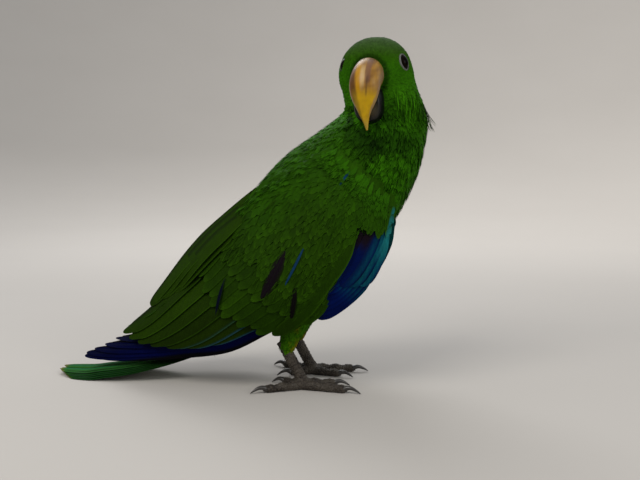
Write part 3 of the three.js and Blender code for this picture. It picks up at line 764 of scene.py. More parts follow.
def skin_finish(link):
    fluff = link.noise(900.0, 4.0)
    return {"Base Color": fluff.mixed(link.attribute("tint"), (0.01, 0.02, 0.004, 1)), "Roughness": 0.85,
            "Specular IOR Level": 0.05, "Normal": fluff.bump(0.7, 0.0008)}


down = finish_named("plumage", plumage_finish(True))
cloth = finish_named("wing plumage", plumage_finish(False))
skin_spots = np.array([v.co for v in skin.data.vertices]) / MM
tinted(skin.data, coat_colour(skin_spots, place_on_form(skin_spots)[0]) * 0.5)
skin.data.materials.append(finish_named("feathered skin", skin_finish))
# the distance between feathers' roots at each station, for a feather's length
ROOT_GAPS = [0.28, 0.28, 0.28, 0.28, 0.27, 0.24, 0.21, 0.20, 0.22, 0.23, 0.24, 0.25, 0.25, 0.25, 0.25, 0.3]


def root_gap(points):
    """How far apart the feathers' roots are: closer on the throat and breast, where they look like hair."""
    t = place_on_form(points)[0]
    return feather_length(points, t) * through(ROOT_GAPS, t)


SILK_START, SILK_END, SILK_GAP, NO_SILK_GAP = 4.4, 10.6, 2.1, 40.0  # stations, then millimetres


def silky(t):
    return (t > SILK_START) & (t < SILK_END)


def strand_gap(points):
    """How far apart the loose barbs are that make the neck and breast look like silk."""
    return np.where(silky(place_on_form(points)[0]), SILK_GAP, NO_SILK_GAP)


LID_REACH, BELOW_WING, OVER_WING = 5.8, 14, 1.7


def body_feathers(gap_at):
    """Where small feathers grow, the way they point, and how much they lie over a wing."""
    roots, normals = scattered(skin.data, gap_at)
    t, around = place_on_form(roots)
    wing_x, wing_q, off_wing = place_on_wing(roots)
    scapular = (off_wing < 6) & ((wing_x > 2) | (wing_q > 0.93))
    keep = ~inside_lids(roots, LID_REACH)
    for n, (p, facing) in enumerate(zip(roots, normals)):
        p, facing = Vector(p), Vector(facing)
        if wing_tree.ray_cast(p - facing * 0.5, facing, BELOW_WING)[0] and not scapular[n]:
            keep[n] = False
        elif t[n] < 6:
            keep[n] &= bill_tree.find_nearest(p)[3] > 0.4
    roots, normals, t, around = roots[keep], normals[keep], t[keep], around[keep]
    ways = lie_of_coat(roots, normals, t, around)
    wander = draw.normal(0, 0.13, len(roots))[:, None]
    over_wing = ease(-off_wing, -7, -3)[keep] * (t > 6)
    return roots, normals, t, unit(ways + np.cross(normals, ways) * wander), over_wing


def coat_of(roots, normals, ways, lengths, depths, lifts, steps=5):
    """What a batch of feathers is made from: where they grow, their sizes, and how they run over the skin."""
    t, around = place_on_form(roots)
    run, facing = laid_over_skin(roots, normals, ways, lengths, steps)
    return {"roots": roots, "t": t, "around": around, "lengths": lengths, "depths": depths, "lifts": lifts,
            "run": run, "facing": facing}


def lain_feathers(coat, rows, columns, breadth, blunt, fray, paints=None):
    """A batch of body feathers: vanes with rounded, frayed tips that rise off the skin to the coat's depth."""
    count, steps = len(coat["roots"]), coat["run"].shape[1] - 1
    s = np.linspace(0, 1, rows)[None, :, None]
    u = np.linspace(-1, 1, columns)[None, None, :]
    ragged = draw.random((count, 1, columns)) * fray + fray * 0.6 * (np.arange(columns) % 2)[None, None]
    run = np.clip(s * (1 - 0.34 * np.abs(u) ** 2.2 * s ** 2) - ragged * s ** 3, 0, 1)
    i = np.minimum((run * steps).astype(int), steps - 1)
    f = (run * steps - i)[..., None]
    n = np.arange(count)[:, None, None]
    line, facings = coat["run"], coat["facing"]
    centre = line[n, i] * (1 - f) + line[n, i + 1] * f
    facing = unit(facings[n, i] * (1 - f) + facings[n, i + 1] * f)
    across = unit(np.cross(unit(line[:, 1:] - line[:, :-1])[n, i], facing))
    length, depth, lift = (coat[key][:, None, None] for key in ("lengths", "depths", "lifts"))
    half = breadth * length * (0.42 + 0.58 * ease(s, 0, 0.45)) * (1 - blunt * s ** 5)
    tilt = 0.03 + draw.normal(0, 0.02, (count, 1, 1))
    rise = 0.4 * run + 0.6 * (1 - (1 - run) ** 2)
    height = depth * (0.10 + 0.80 * rise) + lift * run ** 3 - 0.05 * u ** 2 * half + tilt * u * half
    upper = centre + across * (u * half)[..., None] + facing * height[..., None]
    lower = upper - facing * ((0.07 + 0.12 * (1 - s)) * (1 - 0.3 * u ** 2))[..., None]
    if paints is None:
        paints = coat_colour(coat["roots"], coat["t"])
    tint = paints[:, None, None] * (0.84 + 0.3 * s ** 1.5)[..., None] * draw.normal(1, 0.06, (count, 1, 1, 1))
    t = coat["t"]
    places = np.stack([coat["around"] / (2 * np.pi) + 0.5, (t - t.min()) / max(np.ptp(t), 0.1)], -1) * 0.99
    return {"upper": upper, "lower": lower, "tint": tint, "across": u * half, "along": run * length,
            "chance": draw.random(count), "places": places}


CHEEK_PLUMES, TUFT_PLUMES, PLUME_DEPTH = 260, 34, 2.6


def loose_plumes():
    """Long hair-like plumes under the cheeks and beside the neck, where the turned head parts the coat."""
    plumes = []

    def plume(station, angle, way, length, lift, shades):
        plumes.append((form_point(station, angle, -1.0), way, length, lift, draw.choice(shades)))

    for n in range(CHEEK_PLUMES):
        side = 1 if n % 3 else -1
        angle = side * draw.uniform(0.35, 1.25)
        inward = from_head(1, -0.9 * side, 0) - from_head(0, 0, 0)
        plume(draw.uniform(4.5, 6.3), angle, np.array([0, 0, -1.0]) + draw.uniform(0.1, 0.6) * inward,
              draw.uniform(8, 14), draw.uniform(0.0, 1.2), [0.3, 0.8, 1.3, 1.9])
    for n in range(TUFT_PLUMES):
        plume(draw.uniform(5.4, 6.0), draw.uniform(-0.6, 0.3), np.array([0.25, 0, -1.0]),
              draw.uniform(14, 19), draw.uniform(2.0, 7.0), [0.3, 0.6, 0.9])
    spots, ways, lengths, lifts, shades = map(np.array, zip(*plumes))
    facing = np.empty_like(spots)
    for n, spot in enumerate(spots):
        spots[n], facing[n] = skin_tree.find_nearest(Vector(spot))[:2]
    depths = np.full(len(spots), PLUME_DEPTH)
    made = coat_of(spots, facing, along_skin(unit(ways), facing), lengths, depths, lifts, 8)
    return lain_feathers(made, 9, 3, 0.024, 0.85, 0.0, coat_colour(spots, made["t"]) * shades[:, None])


def silk():
    """Single loose barbs and hair-like feather tips over the neck and breast."""
    grown = body_feathers(strand_gap)
    spots, normals, t, ways, over_wing = (values[silky(grown[2])] for values in grown)
    count = len(spots)
    lengths = feather_length(spots, t) * draw.uniform(0.8, 1.2, count)
    depths = through(COAT_DEPTHS, t) * 1.06 + OVER_WING * over_wing
    made = coat_of(spots, normals, ways, lengths, depths, draw.uniform(0.1, 0.6, count))
    shades = draw.choice([0.55, 0.8, 1.25, 1.5], count)[:, None]
    return lain_feathers(made, 6, 3, 0.022, 0.8, 0.0, coat_colour(spots, t) * shades)


roots, normals, t, ways, over_wing = body_feathers(root_gap)
count = len(roots)
lengths = feather_length(roots, t) * draw.normal(1, 0.1, count).clip(0.75, 1.3)
depths = through(COAT_DEPTHS, t) * draw.normal(1, 0.12, count).clip(0.6, 1.4)
s, off = beside_thigh(roots)
on_thigh = (off < 1.5) & (s > 0.3) & (roots[:, 2] < 70)
depths = np.where(on_thigh, np.minimum(depths, 2.2), depths) + OVER_WING * over_wing
lifts = np.where(draw.random(count) < 0.05, draw.uniform(0.3, 1.1, count), 0) * (t > 5.5)
coat = coat_of(roots, normals, ways, lengths, depths, lifts)
feather_piece("silk_barbs", [silk()], down)
front = np.cos(coat["around"]) > 0
for name, group, *shape in (
    ("crown_plumage", t < 2.9, 4, 5, 0.28, 0.40, 0.25),
    ("cheek_plumage", (t >= 2.9) & (t < 5.2), 4, 5, 0.27, 0.45, 0.32),
    ("neck_plumage", (t >= 5.2) & (t < 7.4), 6, 11, 0.25, 0.45, 0.42),
    ("breast_plumage", (t >= 7.4) & (t < 10.2) & front & ~on_thigh, 6, 13, 0.25, 0.45, 0.42),
    ("belly_plumage", (t >= 10.2) & front & ~on_thigh, 5, 9, 0.30, 0.35, 0.40),
    ("back_plumage", (t >= 7.4) & ~front & ~on_thigh, 6, 11, 0.28, 0.30, 0.30),
    ("thigh_plumage", (t >= 7.4) & on_thigh, 5, 7, 0.30, 0.35, 0.35),
):
    batches = [lain_feathers({key: values[group] for key, values in coat.items()}, *shape)]
    if name == "neck_plumage":
        batches.append(loose_plumes())
    feather_piece(name, batches, down)

# The folded wings. Small coverts cover the arm in soft rows, larger ones cover the roots of the green
# secondaries, and the blue-black primaries come out below them, from under the blue coverts of the hand.
ROYAL, NAVY, TEAL, TURQUOISE = paint(1, 18, 68), paint(1, 2, 26), paint(6, 70, 80), paint(22, 96, 98)
VIOLET_BLACK, BLACK = paint(17, 11, 17), paint(8, 8, 11)
# EDGE_GREEN lightens the wing feathers' tips, edges and upper parts: partly their paler edges, partly a painted
# sheen
WING_GREEN, EDGE_GREEN, FLIGHT_GREEN = paint(27, 53, 1), paint(45, 80, 4), paint(19, 34, 0)
widths_x, width_q = np.linspace(8, -250, 87), np.linspace(0, 1, 61)
widths_of_sheet = np.array([np.linalg.norm(np.diff(on_sheet(x, width_q), axis=0), axis=1).sum() for x in widths_x])


def sheet_width(x):
    """How many millimetres the wing measures over its curve at a place along it."""
    return np.interp(-np.asarray(x, float), -widths_x, widths_of_sheet)


def pairs(x, q):
    return np.stack(np.broadcast_arrays(x, q), -1)


def wing_feathers(side, root, tip, half, depth, tint, rows, columns, curve=1.0, tilt=0.2, bow=0.0,
                  blunt=0.2, fray=0.1, narrow=0.6, thick=0.22, finer_tip=1.0):
    """Feathers on a wing's sheet, from root to tip as (x, q) pairs; depth(x, s) is how deep they lie."""
    root, tip = np.atleast_2d(root).astype(float), np.atleast_2d(tip).astype(float)
    count = len(root)
    half = np.broadcast_to(np.asarray(half, float), (count,))[:, None, None]
    s = (1 - (1 - np.linspace(0, 1, rows)) ** finer_tip)[None, :, None]
    u = np.linspace(-1, 1, columns)[None, None, :]
    length = (np.abs(tip - root)[:, 0] + 1e-6)[:, None, None]
    ragged = draw.random((count, 1, columns)) * fray + fray * 0.5 * (np.arange(columns) % 2)[None, None]
    rounding = np.minimum(0.9 * half / length, 0.34)
    bitten = (rounding * np.abs(u) ** 2.3 + ragged * np.minimum(6 / length, 1)) * s ** (2 + length / 12)
    run = np.clip(s - bitten, 0, 1)
    x = root[:, 0, None, None] + (tip - root)[:, 0, None, None] * run
    q = root[:, 1, None, None] + (tip - root)[:, 1, None, None] * run ** curve
    wide = half * (narrow + (1 - narrow) * ease(s, 0, 0.4)) * (1 - blunt * s ** 6)
    q = np.minimum(q + u * wide / sheet_width(x), 1.0)
    lie = depth(x, run) + tilt * u + bow * u ** 2 * wide
    places = [(root[:, 1] * 0.9 + 0.03).clip(0, 0.99), (0.97 - (8 - root[:, 0]) / 262).clip(0, 0.99)]
    return {"upper": wing_point(side, x, q, lie),
            "lower": wing_point(side, x, q, lie + thick * (1.15 - 0.5 * s) * (1 - 0.3 * u ** 2)),
            "tint": tint(x, q, run, u) * draw.normal(1, 0.06, (count, 1, 1, 1)),
            "across": u * wide, "along": run * length, "chance": draw.random(count),
            "places": np.stack(places, -1)}


# what follows colours a feather by x and q on the wing, and by s along it and u across it, from -1 to 1
def covert_tint(x, q, s, u):
    # tips and edges lighter in EDGE_GREEN: partly paler edges, partly a painted sheen
    return painted(WING_GREEN,
                   (np.maximum(ease(s, 0.8, 1.0) * 0.6, 0.45 * ease(np.abs(u), 0.7, 1) * ease(s, 0.3, 0.6)),
                    EDGE_GREEN),
                   (np.maximum(ease(x, -50, 5) * 0.7, ease(q, 0.55, 0.85) * ease(x, -85, -50) * 0.8),
                    SHOULDER_GREEN),
                   (ease(-x, 80, 104) * 0.25, FLIGHT_GREEN),
                   (ease(-q, -0.011, -0.002) * ease(x, -26, -14) * ease(s, 0.2, 0.5) * 0.8, TURQUOISE))


def hand_tint(x, q, s, u):
    return painted(ROYAL * 0.45,
                   (ease(-u, -0.2, 0.8) * 0.9, paint(1, 18, 72)),
                   (ease(-u, 0.5, 0.95) * ease(-q, -0.16, -0.08) * ease(x, -66, -50) * 0.6, TEAL),
                   (ease(-x, 55, 72) * 0.5, paint(1, 10, 58)),
                   (ease(x, -36, -27) * ease(q, 0.08, 0.14), VIOLET_BLACK))


def thumb_tint(x, q, s, u):
    web = ease(-np.abs(u + 0.3), -0.75, -0.15) * ease(-q, -0.10, -0.02) * ease(x, -60, -44)
    return painted(paint(1, 13, 58),
                   (web * (0.8 + 0.2 * np.sin(u * 14 + s * 40)), TEAL),
                   (ease(-q, -0.012, -0.002) * ease(x, -34, -16) * 0.8, TURQUOISE),
                   (ease(-u, 0.8, 0.98) * ease(-x, 30, 40) * 0.8, NAVY),
                   (ease(x, -33, -24) * ease(q, 0.07, 0.12), VIOLET_BLACK))


def drape_tint(x, q, s, u):
    return painted(WING_GREEN * 0.85, (ease(np.abs(u), 0.75, 0.95) * 0.6, EDGE_GREEN),
                   (ease(-x, 70, 104) * 0.5, FLIGHT_GREEN))


def secondary_tint(x, q, s, u):
    return painted(FLIGHT_GREEN,
                   (0.2 * ease(q, 0.1, 0.9), EDGE_GREEN),
                   (ease(u, 0.35, 0.8) * 0.6, paint(11, 18, 4)),
                   (ease(-u, 0.86, 0.97) * 0.5, EDGE_GREEN),
                   (ease(-u, 0.76, 0.98) * ease(-q, -0.34, -0.15) * 0.6, paint(12, 52, 86)))


def primary_tint(x, q, s, u):
    under = np.interp(-x, [88, 105, 150, 174, 204, 240], [0.05, 0.06, 0.165, 0.245, 0.30, 0.37]) - q
    return painted(paint(1, 6, 56),
                   (ease(under, 0.075, 0.12), BLACK),
                   (ease(-np.abs(u + 0.1), -0.09, -0.03) * 0.5, paint(60, 60, 58)),
                   (ease(u, 0.3, 0.7), BLACK),
                   (ease(s, 0.72, 0.98) * 0.6, NAVY))


def secondary_depth(x, s):
    return 5 - 3 * ease(-x, 112, 150)


def primary_depth(x, s):
    return 8.7 + (secondary_depth(x, s) + 5.9 - 8.7) * ease(-x, 80, 112)


# the lower edge of the green, where the blue of the hand starts: values of -x and their q on the sheet
HAND_EDGE = ([-20, 18, 22, 25, 34, 44, 64, 80, 90, 140],
             [-0.1, -0.1, 0.12, 0.175, 0.175, 0.145, 0.10, 0.045, 0.0, -0.1])


def over_hand(x, q):
    return q > np.interp(-x, *HAND_EDGE)


ARM_START, ARM_LENGTH = 4.0, 80


def small_coverts():
    """Rows of small coverts over the arm, larger from row to row: their roots, tips and half breadths."""
    rows, x = [], ARM_START
    while x > ARM_START - ARM_LENGTH:
        share = (ARM_START - x) / ARM_LENGTH
        length, across = 9.5 + 12 * share, 3.9 + 2.7 * share
        count = int(sheet_width(x) * 0.97 / across)
        q = 0.012 + (np.arange(count) + 0.5 * (len(rows) % 2) + draw.normal(0, 0.16, count)) / count * 0.975
        start = x + draw.normal(0, 0.8, count) - 8 * (q - 0.5) ** 2 + 6
        droop = (0.0012 + 0.0038 * np.sin(np.pi * np.clip(q, 0, 1))) * length
        end = start - length * draw.normal(1, 0.08, count)
        end_q = q - droop + draw.normal(0, 0.012, count)
        rows.append(np.stack([start, q, end, end_q, 0.86 * across * draw.normal(1, 0.08, count)], -1))
        x -= 2.7 + 3.0 * share
    small = np.concatenate(rows)
    return small[over_hand(small[:, 2], small[:, 3] - 0.035) & ((small[:, 3] > 0.05) | (small[:, 2] > -78))]


SECONDARY_TIPS = [(-153, 0.22), (-167, 0.27), (-178, 0.33), (-187, 0.42), (-194, 0.52), (-198, 0.63), (-200, 0.75)]
SECONDARY_HALVES = [5.6, 7.2, 8.4, 8.8, 8.8, 8.8, 8.8]
PRIMARY_TIPS = [(-226, 0.34), (-237, 0.4), (-243, 0.46), (-240, 0.53), (-232, 0.6), (-222, 0.67), (-211, 0.75)]
# long green feathers that hang over the hand's blue, and long ones at the wing's upper edge
DRAPE = ([(-22, 0.25), (-38, 0.235), (-54, 0.19), (-70, 0.14)],
         [(-62, 0.165), (-80, 0.12), (-97, 0.06), (-112, 0.03)])
INNER = np.array([(-50, 0.99), (-56, 0.95), (-60, 0.90)]), np.array([(-170, 0.90), (-158, 0.87), (-146, 0.83)])
INNER_LAYERS = {-1: ((4.4, 0.0), (2.2, 0.02)), 1: ((2.2, 0.0),)}  # how far they stand out, and how far in
# feathers out of place, that show as dark or blue gaps: root, tip, half breadth and colour
STRAYS = (((-58.5, 0.524), (-101.7, 0.316), 5.2, VIOLET_BLACK),
          ((-73, 0.30), (-99, 0.07), 2.6, VIOLET_BLACK * 0.5),
          ((-107, 0.61), (-131, 0.395), 1.7, NAVY),
          ((-49, 0.455), (-84, 0.305), 1.1, paint(12, 46, 78)),
          ((3, 0.63), (-9, 0.585), 1.0, paint(6, 52, 84)))
LARGE_COUNT, MIDDLE_COUNT, HAND_COUNT, THUMB_COUNT, SHOULDER_COUNT, BARB_COUNT = 14, 15, 8, 3, 140, 420
for side, which in ((-1, "right"), (1, "left")):
    small = small_coverts()
    batches = [wing_feathers(side, small[:, :2], small[:, 2:4], small[:, 4],
                             lambda x, s: 0.75 - 0.65 * s + 2.4 * ease(x, -1, 9), covert_tint,
                             6, 11, tilt=0.12, fray=0.13, blunt=0.42, thick=0.06)]
    k = np.arange(LARGE_COUNT)
    q = 0.055 + 0.07 * k
    tips = pairs(-114 - 12 * np.sin(np.pi * q) - 4 * (k % 2), q - 0.045)
    large = wing_feathers(side, pairs(-84, q + 0.02), tips, 5.2,
                          lambda x, s: 2.4 - 1.6 * s ** 0.7 + 1.6 * s ** 3, covert_tint,
                          16, 13, tilt=0.3, fray=0.08, finer_tip=1.5, thick=0.12)
    k = np.arange(MIDDLE_COUNT)
    q = 0.06 + 0.065 * k
    tips = pairs(-95 - 7 * np.sin(np.pi * q) - 3 * (k % 2), q - 0.035)
    middle = wing_feathers(side, pairs(-70, q + 0.01), tips, 5.0, lambda x, s: 1.5 - 1.1 * s ** 0.8, covert_tint,
                           14, 13, fray=0.12, finer_tip=1.4, thick=0.1)
    k = np.arange(HAND_COUNT)
    hand = wing_feathers(side, pairs(-21 - 1.2 * k, 0.21 - 0.03 * k), pairs(-60 - 3.6 * k, 0.155 - 0.023 * k), 5.6,
                         lambda x, s: 2.6 - 1.2 * s, hand_tint, 20, 15, tilt=0.6, bow=0.02,
                         fray=0.02, finer_tip=1.4)
    k = np.arange(THUMB_COUNT)
    thumb = wing_feathers(side, pairs(-5 - 2 * k, 0.10 - 0.045 * k), pairs(-57 + 4 * k, 0.085 - 0.042 * k), 6.0,
                          lambda x, s: 1.7 - 1.2 * s, thumb_tint, 24, 21, tilt=0.5, bow=0.03,
                          fray=0.02, finer_tip=1.4)
    q = np.linspace(0.08, 0.97, SHOULDER_COUNT) + draw.normal(0, 0.01, SHOULDER_COUNT)
    x = 8.5 - draw.random(SHOULDER_COUNT) * 7
    tips = pairs(x - draw.uniform(8, 14, SHOULDER_COUNT), q - 0.02 + draw.normal(0, 0.015, SHOULDER_COUNT))
    shoulder = wing_feathers(side, pairs(x, q), tips, 1.7, lambda x, s: 2.6 - 2.9 * ease(s, 0, 0.7),
                             lambda x, q, s, u: blend(ease(x, -8, 6) * 0.6, SHOULDER_GREEN * 0.9, LEAF * 0.9),
                             9, 9, tilt=0.1, fray=0.5, blunt=0.5, narrow=0.3, thick=0.08)
    batches += [middle, large, hand, thumb]
    batches.append(wing_feathers(side, *DRAPE, 5.2, lambda x, s: 1.6 - 1.7 * ease(s, 0, 0.45), drape_tint,
                                 24, 15, tilt=0.6, fray=0.01, finer_tip=1.4, thick=0.15))
    for raised, shift in INNER_LAYERS[side]:
        batches.append(wing_feathers(side, INNER[0] - [0, shift], INNER[1] - [0, shift], [5.5, 6.0, 6.0],
                                     lambda x, s: 1.6 - raised * np.sin(np.pi * s.clip(0, 1)) ** 1.2,
                                     secondary_tint, 26, 13, tilt=-0.4, fray=0.02, finer_tip=1.5, thick=0.5,
                                     blunt=0.4))
    for root, tip, half, colour in STRAYS:
        batches.append(wing_feathers(side, root, tip, half,
                                     lambda x, s: 1.0 - 1.35 * np.sin(np.pi * s.clip(0, 1)) ** 0.6,
                                     lambda x, q, s, u: blend(ease(np.abs(u), 0.5, 1) * 0.7, colour, FLIGHT_GREEN),
                                     13, 7, tilt=0.1, bow=0.12, blunt=0.9, narrow=0.2))
    feather_piece(f"{which}_wing_coverts", batches, cloth, [f"wing_{which}_coverts"])
    x, q = ARM_START - 96 * draw.random(BARB_COUNT) ** 0.8, draw.uniform(0.04, 0.96, BARB_COUNT)
    length = draw.uniform(5, 9, BARB_COUNT) * (1 - 0.05 * x / 10)
    tips = pairs(x - length, q - length * draw.uniform(0.0, 0.006, BARB_COUNT))
    kept = over_hand(tips[:, 0], tips[:, 1] - 0.01)
    shades = draw.choice([0.65, 0.85, 1.2, 1.45], kept.sum())[:, None, None, None]
    loose = wing_feathers(side, pairs(x, q)[kept], tips[kept], 0.22, lambda x, s: 0.7 - 0.8 * ease(s, 0, 0.5),
                          lambda x, q, s, u: blend(ease(x, -50, 5), WING_GREEN, SHOULDER_GREEN) * shades,
                          7, 3, tilt=0.02, fray=0.0, blunt=0.8, narrow=0.5, thick=0.08)
    feather_piece(f"{which}_shoulder_plumage", [shoulder, loose], down)
    k = np.arange(len(SECONDARY_TIPS))
    flight = wing_feathers(side, pairs(-88, 0.10 + 0.13 * k), SECONDARY_TIPS, SECONDARY_HALVES, secondary_depth,
                           secondary_tint, 34, 15, tilt=1.0, fray=0.02, finer_tip=1.6, thick=0.4, blunt=0.45)
    feather_piece(f"{which}_wing_secondaries", [flight], cloth, [f"wing_{which}_secondaries"])
    quills = wing_feathers(side, pairs(-70, 0.015 * k), PRIMARY_TIPS, 7.2, primary_depth, primary_tint, 40, 13,
                           curve=1.8, tilt=1.6, narrow=0.35, fray=0.015, finer_tip=1.7, thick=0.45, blunt=0.5)
    feather_piece(f"{which}_wing_primaries", [quills], cloth, [f"wing_{which}_primaries"])

# The rump. Rows of soft green feathers run back over the roots of the tail, between and under the folded
# wings, and close the gap between the two wings as seen from above.
RUMP_STARTS, RUMP_COUNT, RUMP_HALF, RUMP_LENGTH, RUMP_ARCH = np.arange(-66, -166, -9.0), 7, 5.5, 30.0, 5


def rump_feathers():
    batches = []
    s = np.linspace(0, 1, 12)[None, :, None]
    u = np.linspace(-1, 1, 9)[None, None, :]
    for row, start in enumerate(RUMP_STARTS):
        share = 0.06 + 0.88 * (np.arange(RUMP_COUNT) + 0.5 * (row % 2)) / (RUMP_COUNT - 0.5)
        ragged = draw.random((RUMP_COUNT, 1, 9)) * 0.05
        run = np.clip(s - (0.3 * np.abs(u) ** 2.3 + ragged) * s ** 3, 0, 1)
        x = start + draw.normal(0, 2.5, (RUMP_COUNT, 1, 1)) - RUMP_LENGTH * run
        right, left = (wing_point(side, x, 0.82, 3.2 + 1.6 * (1 - run)) for side in (-1, 1))
        half = u * RUMP_HALF * (0.5 + 0.5 * ease(s, 0, 0.4))
        over = share[:, None, None] + half / np.linalg.norm(left - right, axis=-1)
        upper = right + (left - right) * over[..., None]
        upper[..., 2] += RUMP_ARCH * over * (1 - over)
        tint = LEAF * draw.normal(0.8, 0.07, (RUMP_COUNT, 1, 1, 1)) * (0.8 + 0.3 * s)[..., None]
        batches.append({"upper": upper, "lower": upper - np.array([0.1, 0, 0.2]) * (1.2 - s)[..., None],
                        "tint": tint, "across": u * RUMP_HALF, "along": run * RUMP_LENGTH,
                        "chance": draw.random(RUMP_COUNT),
                        "places": pairs(share * 0.95, 0.04 + 0.08 * row)})
    return batches


feather_piece("rump_plumage", rump_feathers(), cloth)

# The tail. Twelve broad feathers lie over one another, the middle pair on top: green with a bluer middle,
# dark along the outer edges, and worn pale at the very tips.
TAIL_LENGTH, TAIL_PAIRS, TAIL_WIDTH, TAIL_PITCH, TAIL_LAYER, TAIL_DROP = 118, 6, 12.5, 2.1, 0.62, 20.5
TAIL_ROOT = from_body(-163, 0, 36)


def tail_feathers(side, rows=40, columns=13):
    """The tail's feathers on one side, each a little shorter, lower and further out than the one before."""
    k = np.arange(TAIL_PAIRS)[:, None, None]
    s0 = (1 - (1 - np.linspace(0, 1, rows)) ** 1.5)[None, :, None]
    u = np.linspace(0, 1, columns)[None, None, :]
    length = TAIL_LENGTH - 2.5 * k
    ragged = draw.random((TAIL_PAIRS, 1, columns)) * 0.014
    s = np.clip(s0 - (0.055 * np.abs(2 * u - 0.9) ** 2.4 + ragged) * s0 ** 9, 0, 1)
    x = TAIL_ROOT[0] - 0.975 * length * s
    z = TAIL_LAYER * (TAIL_PAIRS - 1 - k) + TAIL_DROP * (1 - s) ** 1.9 * (1 - ease(s, 0.7, 0.85)) + 0.02
    inner = 0.2 - 1.6 * (k == 0) + TAIL_PITCH * k * (0.35 + 0.65 * np.minimum(1, 1.6 * s))
    full = TAIL_WIDTH * through([0.5, 0.75, 0.92, 1, 1, 1, 0.86], 6 * s0)
    y = SHOULDER[1] + side * (inner + full * u)
    z = z + 0.2 * side * (k == 0) + draw.normal(0, 0.08, (TAIL_PAIRS, 1, 1)) * s
    crown = 0.35 * np.sin(np.pi * u)
    tint = painted(LEAF, (ease(s, 0.05, 0.7), paint(30, 88, 14)),
                   (ease(-np.abs(u - 0.45), -0.34, -0.05) * ease(s, 0.15, 0.8) * 0.55, paint(10, 84, 62)),
                   (ease(u, 0.74, 0.96) * 0.8, paint(12, 22, 26)),
                   (ease(s, 0.955, 0.99), paint(96, 92, 40)))
    places = pairs(0.1 + 0.12 * np.arange(TAIL_PAIRS) + (0.06 if side > 0 else 0), 0.5)
    return {"upper": np.stack([x, y, z + 0.45 + crown], -1), "lower": np.stack([x, y, z + 0.12 + crown * 0.6], -1),
            "tint": tint, "across": (u - 0.45) * full, "along": s * length, "chance": draw.random(TAIL_PAIRS),
            "places": places}


feather_piece("tail_feathers", [tail_feathers(side) for side in (-1, 1)], cloth, ["tail"])

# The bill. Horn grown in layers over bone: the upper half is a deep hook, brownish where it leaves the face
# and clear yellow at its tip, with two nostrils at its root. The lower half is black, with a painted highlight in
# front.
BILL_HALF, BILL_TIP = [10.0, 10.1, 10.2, 9.9, 8.1, 4.4, 1.75, 0.7], (31.9, 1.4, 64.2)
# forward out of the face and down from the crown, from root to tip, of the ridge and of the cutting edge
BILL_RIDGE = ([16, 27, 36, 41.5, 42.3, 39.8, 35.6, 32.2], [16.5, 17.2, 22.5, 31, 40.5, 50.5, 59, 63.7])
BILL_EDGE = ([16, 22, 26.5, 30, 31.3, 31.8, 31.9, 31.7], [39, 39.2, 40.5, 43.5, 48, 53.5, 58.9, 63])
NOSTRIL_FORWARD, NOSTRIL_SIDE, NOSTRIL_BELOW, NOSTRIL_DEPTH = 25.5, 5.8, 19.3, 1.9
STREAK_PITCHES, PATCH_PITCHES = (1.1, 1.9, 3.1, 4.7, 7.3), (1.0, 1.7, 2.9, 4.3)
BILL_RINGS, BILL_SIDES, JAW_RINGS, JAW_SIDES = 150, 120, 50, 48
OCHRE, GOLD, UMBER, RIM, MAUVE = (paint(152, 112, 40), paint(168, 121, 0), paint(100, 62, 22), paint(134, 108, 84),
                                  paint(104, 72, 58))


def horn_finish(link):
    grain = link.noise(260.0, 5.0)
    return {"Base Color": link.attribute("tint").lit(0.8 + grain * 0.4), "Roughness": 0.26 + grain * 0.25,
            "Subsurface Weight": 0.15, "Subsurface Radius": (0.004, 0.002, 0.0008), "Specular IOR Level": 0.22,
            "Normal": grain.bump(0.25, 0.0003)}


horn = finish_named("horn", horn_finish)
t, up = np.linspace(0, len(BILL_HALF) - 1, BILL_RINGS)[:, None], 0.5 + 0.5 * np.cos(circle(BILL_SIDES))
forward, below = (through(low, t) + (through(high, t) - through(low, t)) * up
                  for low, high in zip(BILL_EDGE, BILL_RIDGE))
left = through(BILL_HALF, t) * np.sin(circle(BILL_SIDES))
rings = from_head(forward, left + 0.5 * ease(forward, 17, 30) + 0.9 * ease(below, 52, 63), below)
for side in (-1, 1):
    hole = np.sqrt((forward - NOSTRIL_FORWARD) ** 2 + (left - side * NOSTRIL_SIDE) ** 2
                   + (below - NOSTRIL_BELOW) ** 2)
    inward = (from_head(0, 0, 3.0) - from_head(1.6, 0, 0)) / 3.4
    rings += inward * (NOSTRIL_DEPTH * ease(-hole, -1.7, -0.6))[..., None]
mesh = joined_mesh("upper_bill", [closed_rings(rings, rings[0].mean(0), from_head(*BILL_TIP))])
breadth = np.repeat(np.abs(left).max(1), left.shape[1])
left, below = left.ravel(), below.ravel()
streaks = sum(np.sin(k * left + 0.05 * k * below * (k % 3 - 1) + 1.7 * k) / n
              for n, k in enumerate(STREAK_PITCHES, 1))
patchy = sum(np.sin(k * below * 0.45 + (k % 2 + 0.6) * left * 0.5 + 2.3 * k) / n
             for n, k in enumerate(PATCH_PITCHES, 1))
share = left / breadth + 0.02 * streaks
low_gold = paint(184, 146, 0) * (1 + 0.06 * patchy[:, None]) * (1 - 0.4 * ease(-share, 0.3, 0.6))[:, None]
# pale rims, cap and upper right: the horn's pale edge, and along the narrow side rims partly a painted reflection
# where the bill's sides turn away
pale = np.maximum(1.3 * ease(np.abs(share), 0.9, 0.985) * ease(-below, -60, -50), ease(-below, -24, -18) * 0.7)
pale = np.maximum(pale, ease(share, 0.76, 0.94) * ease(-below, -44, -34) * 0.8)
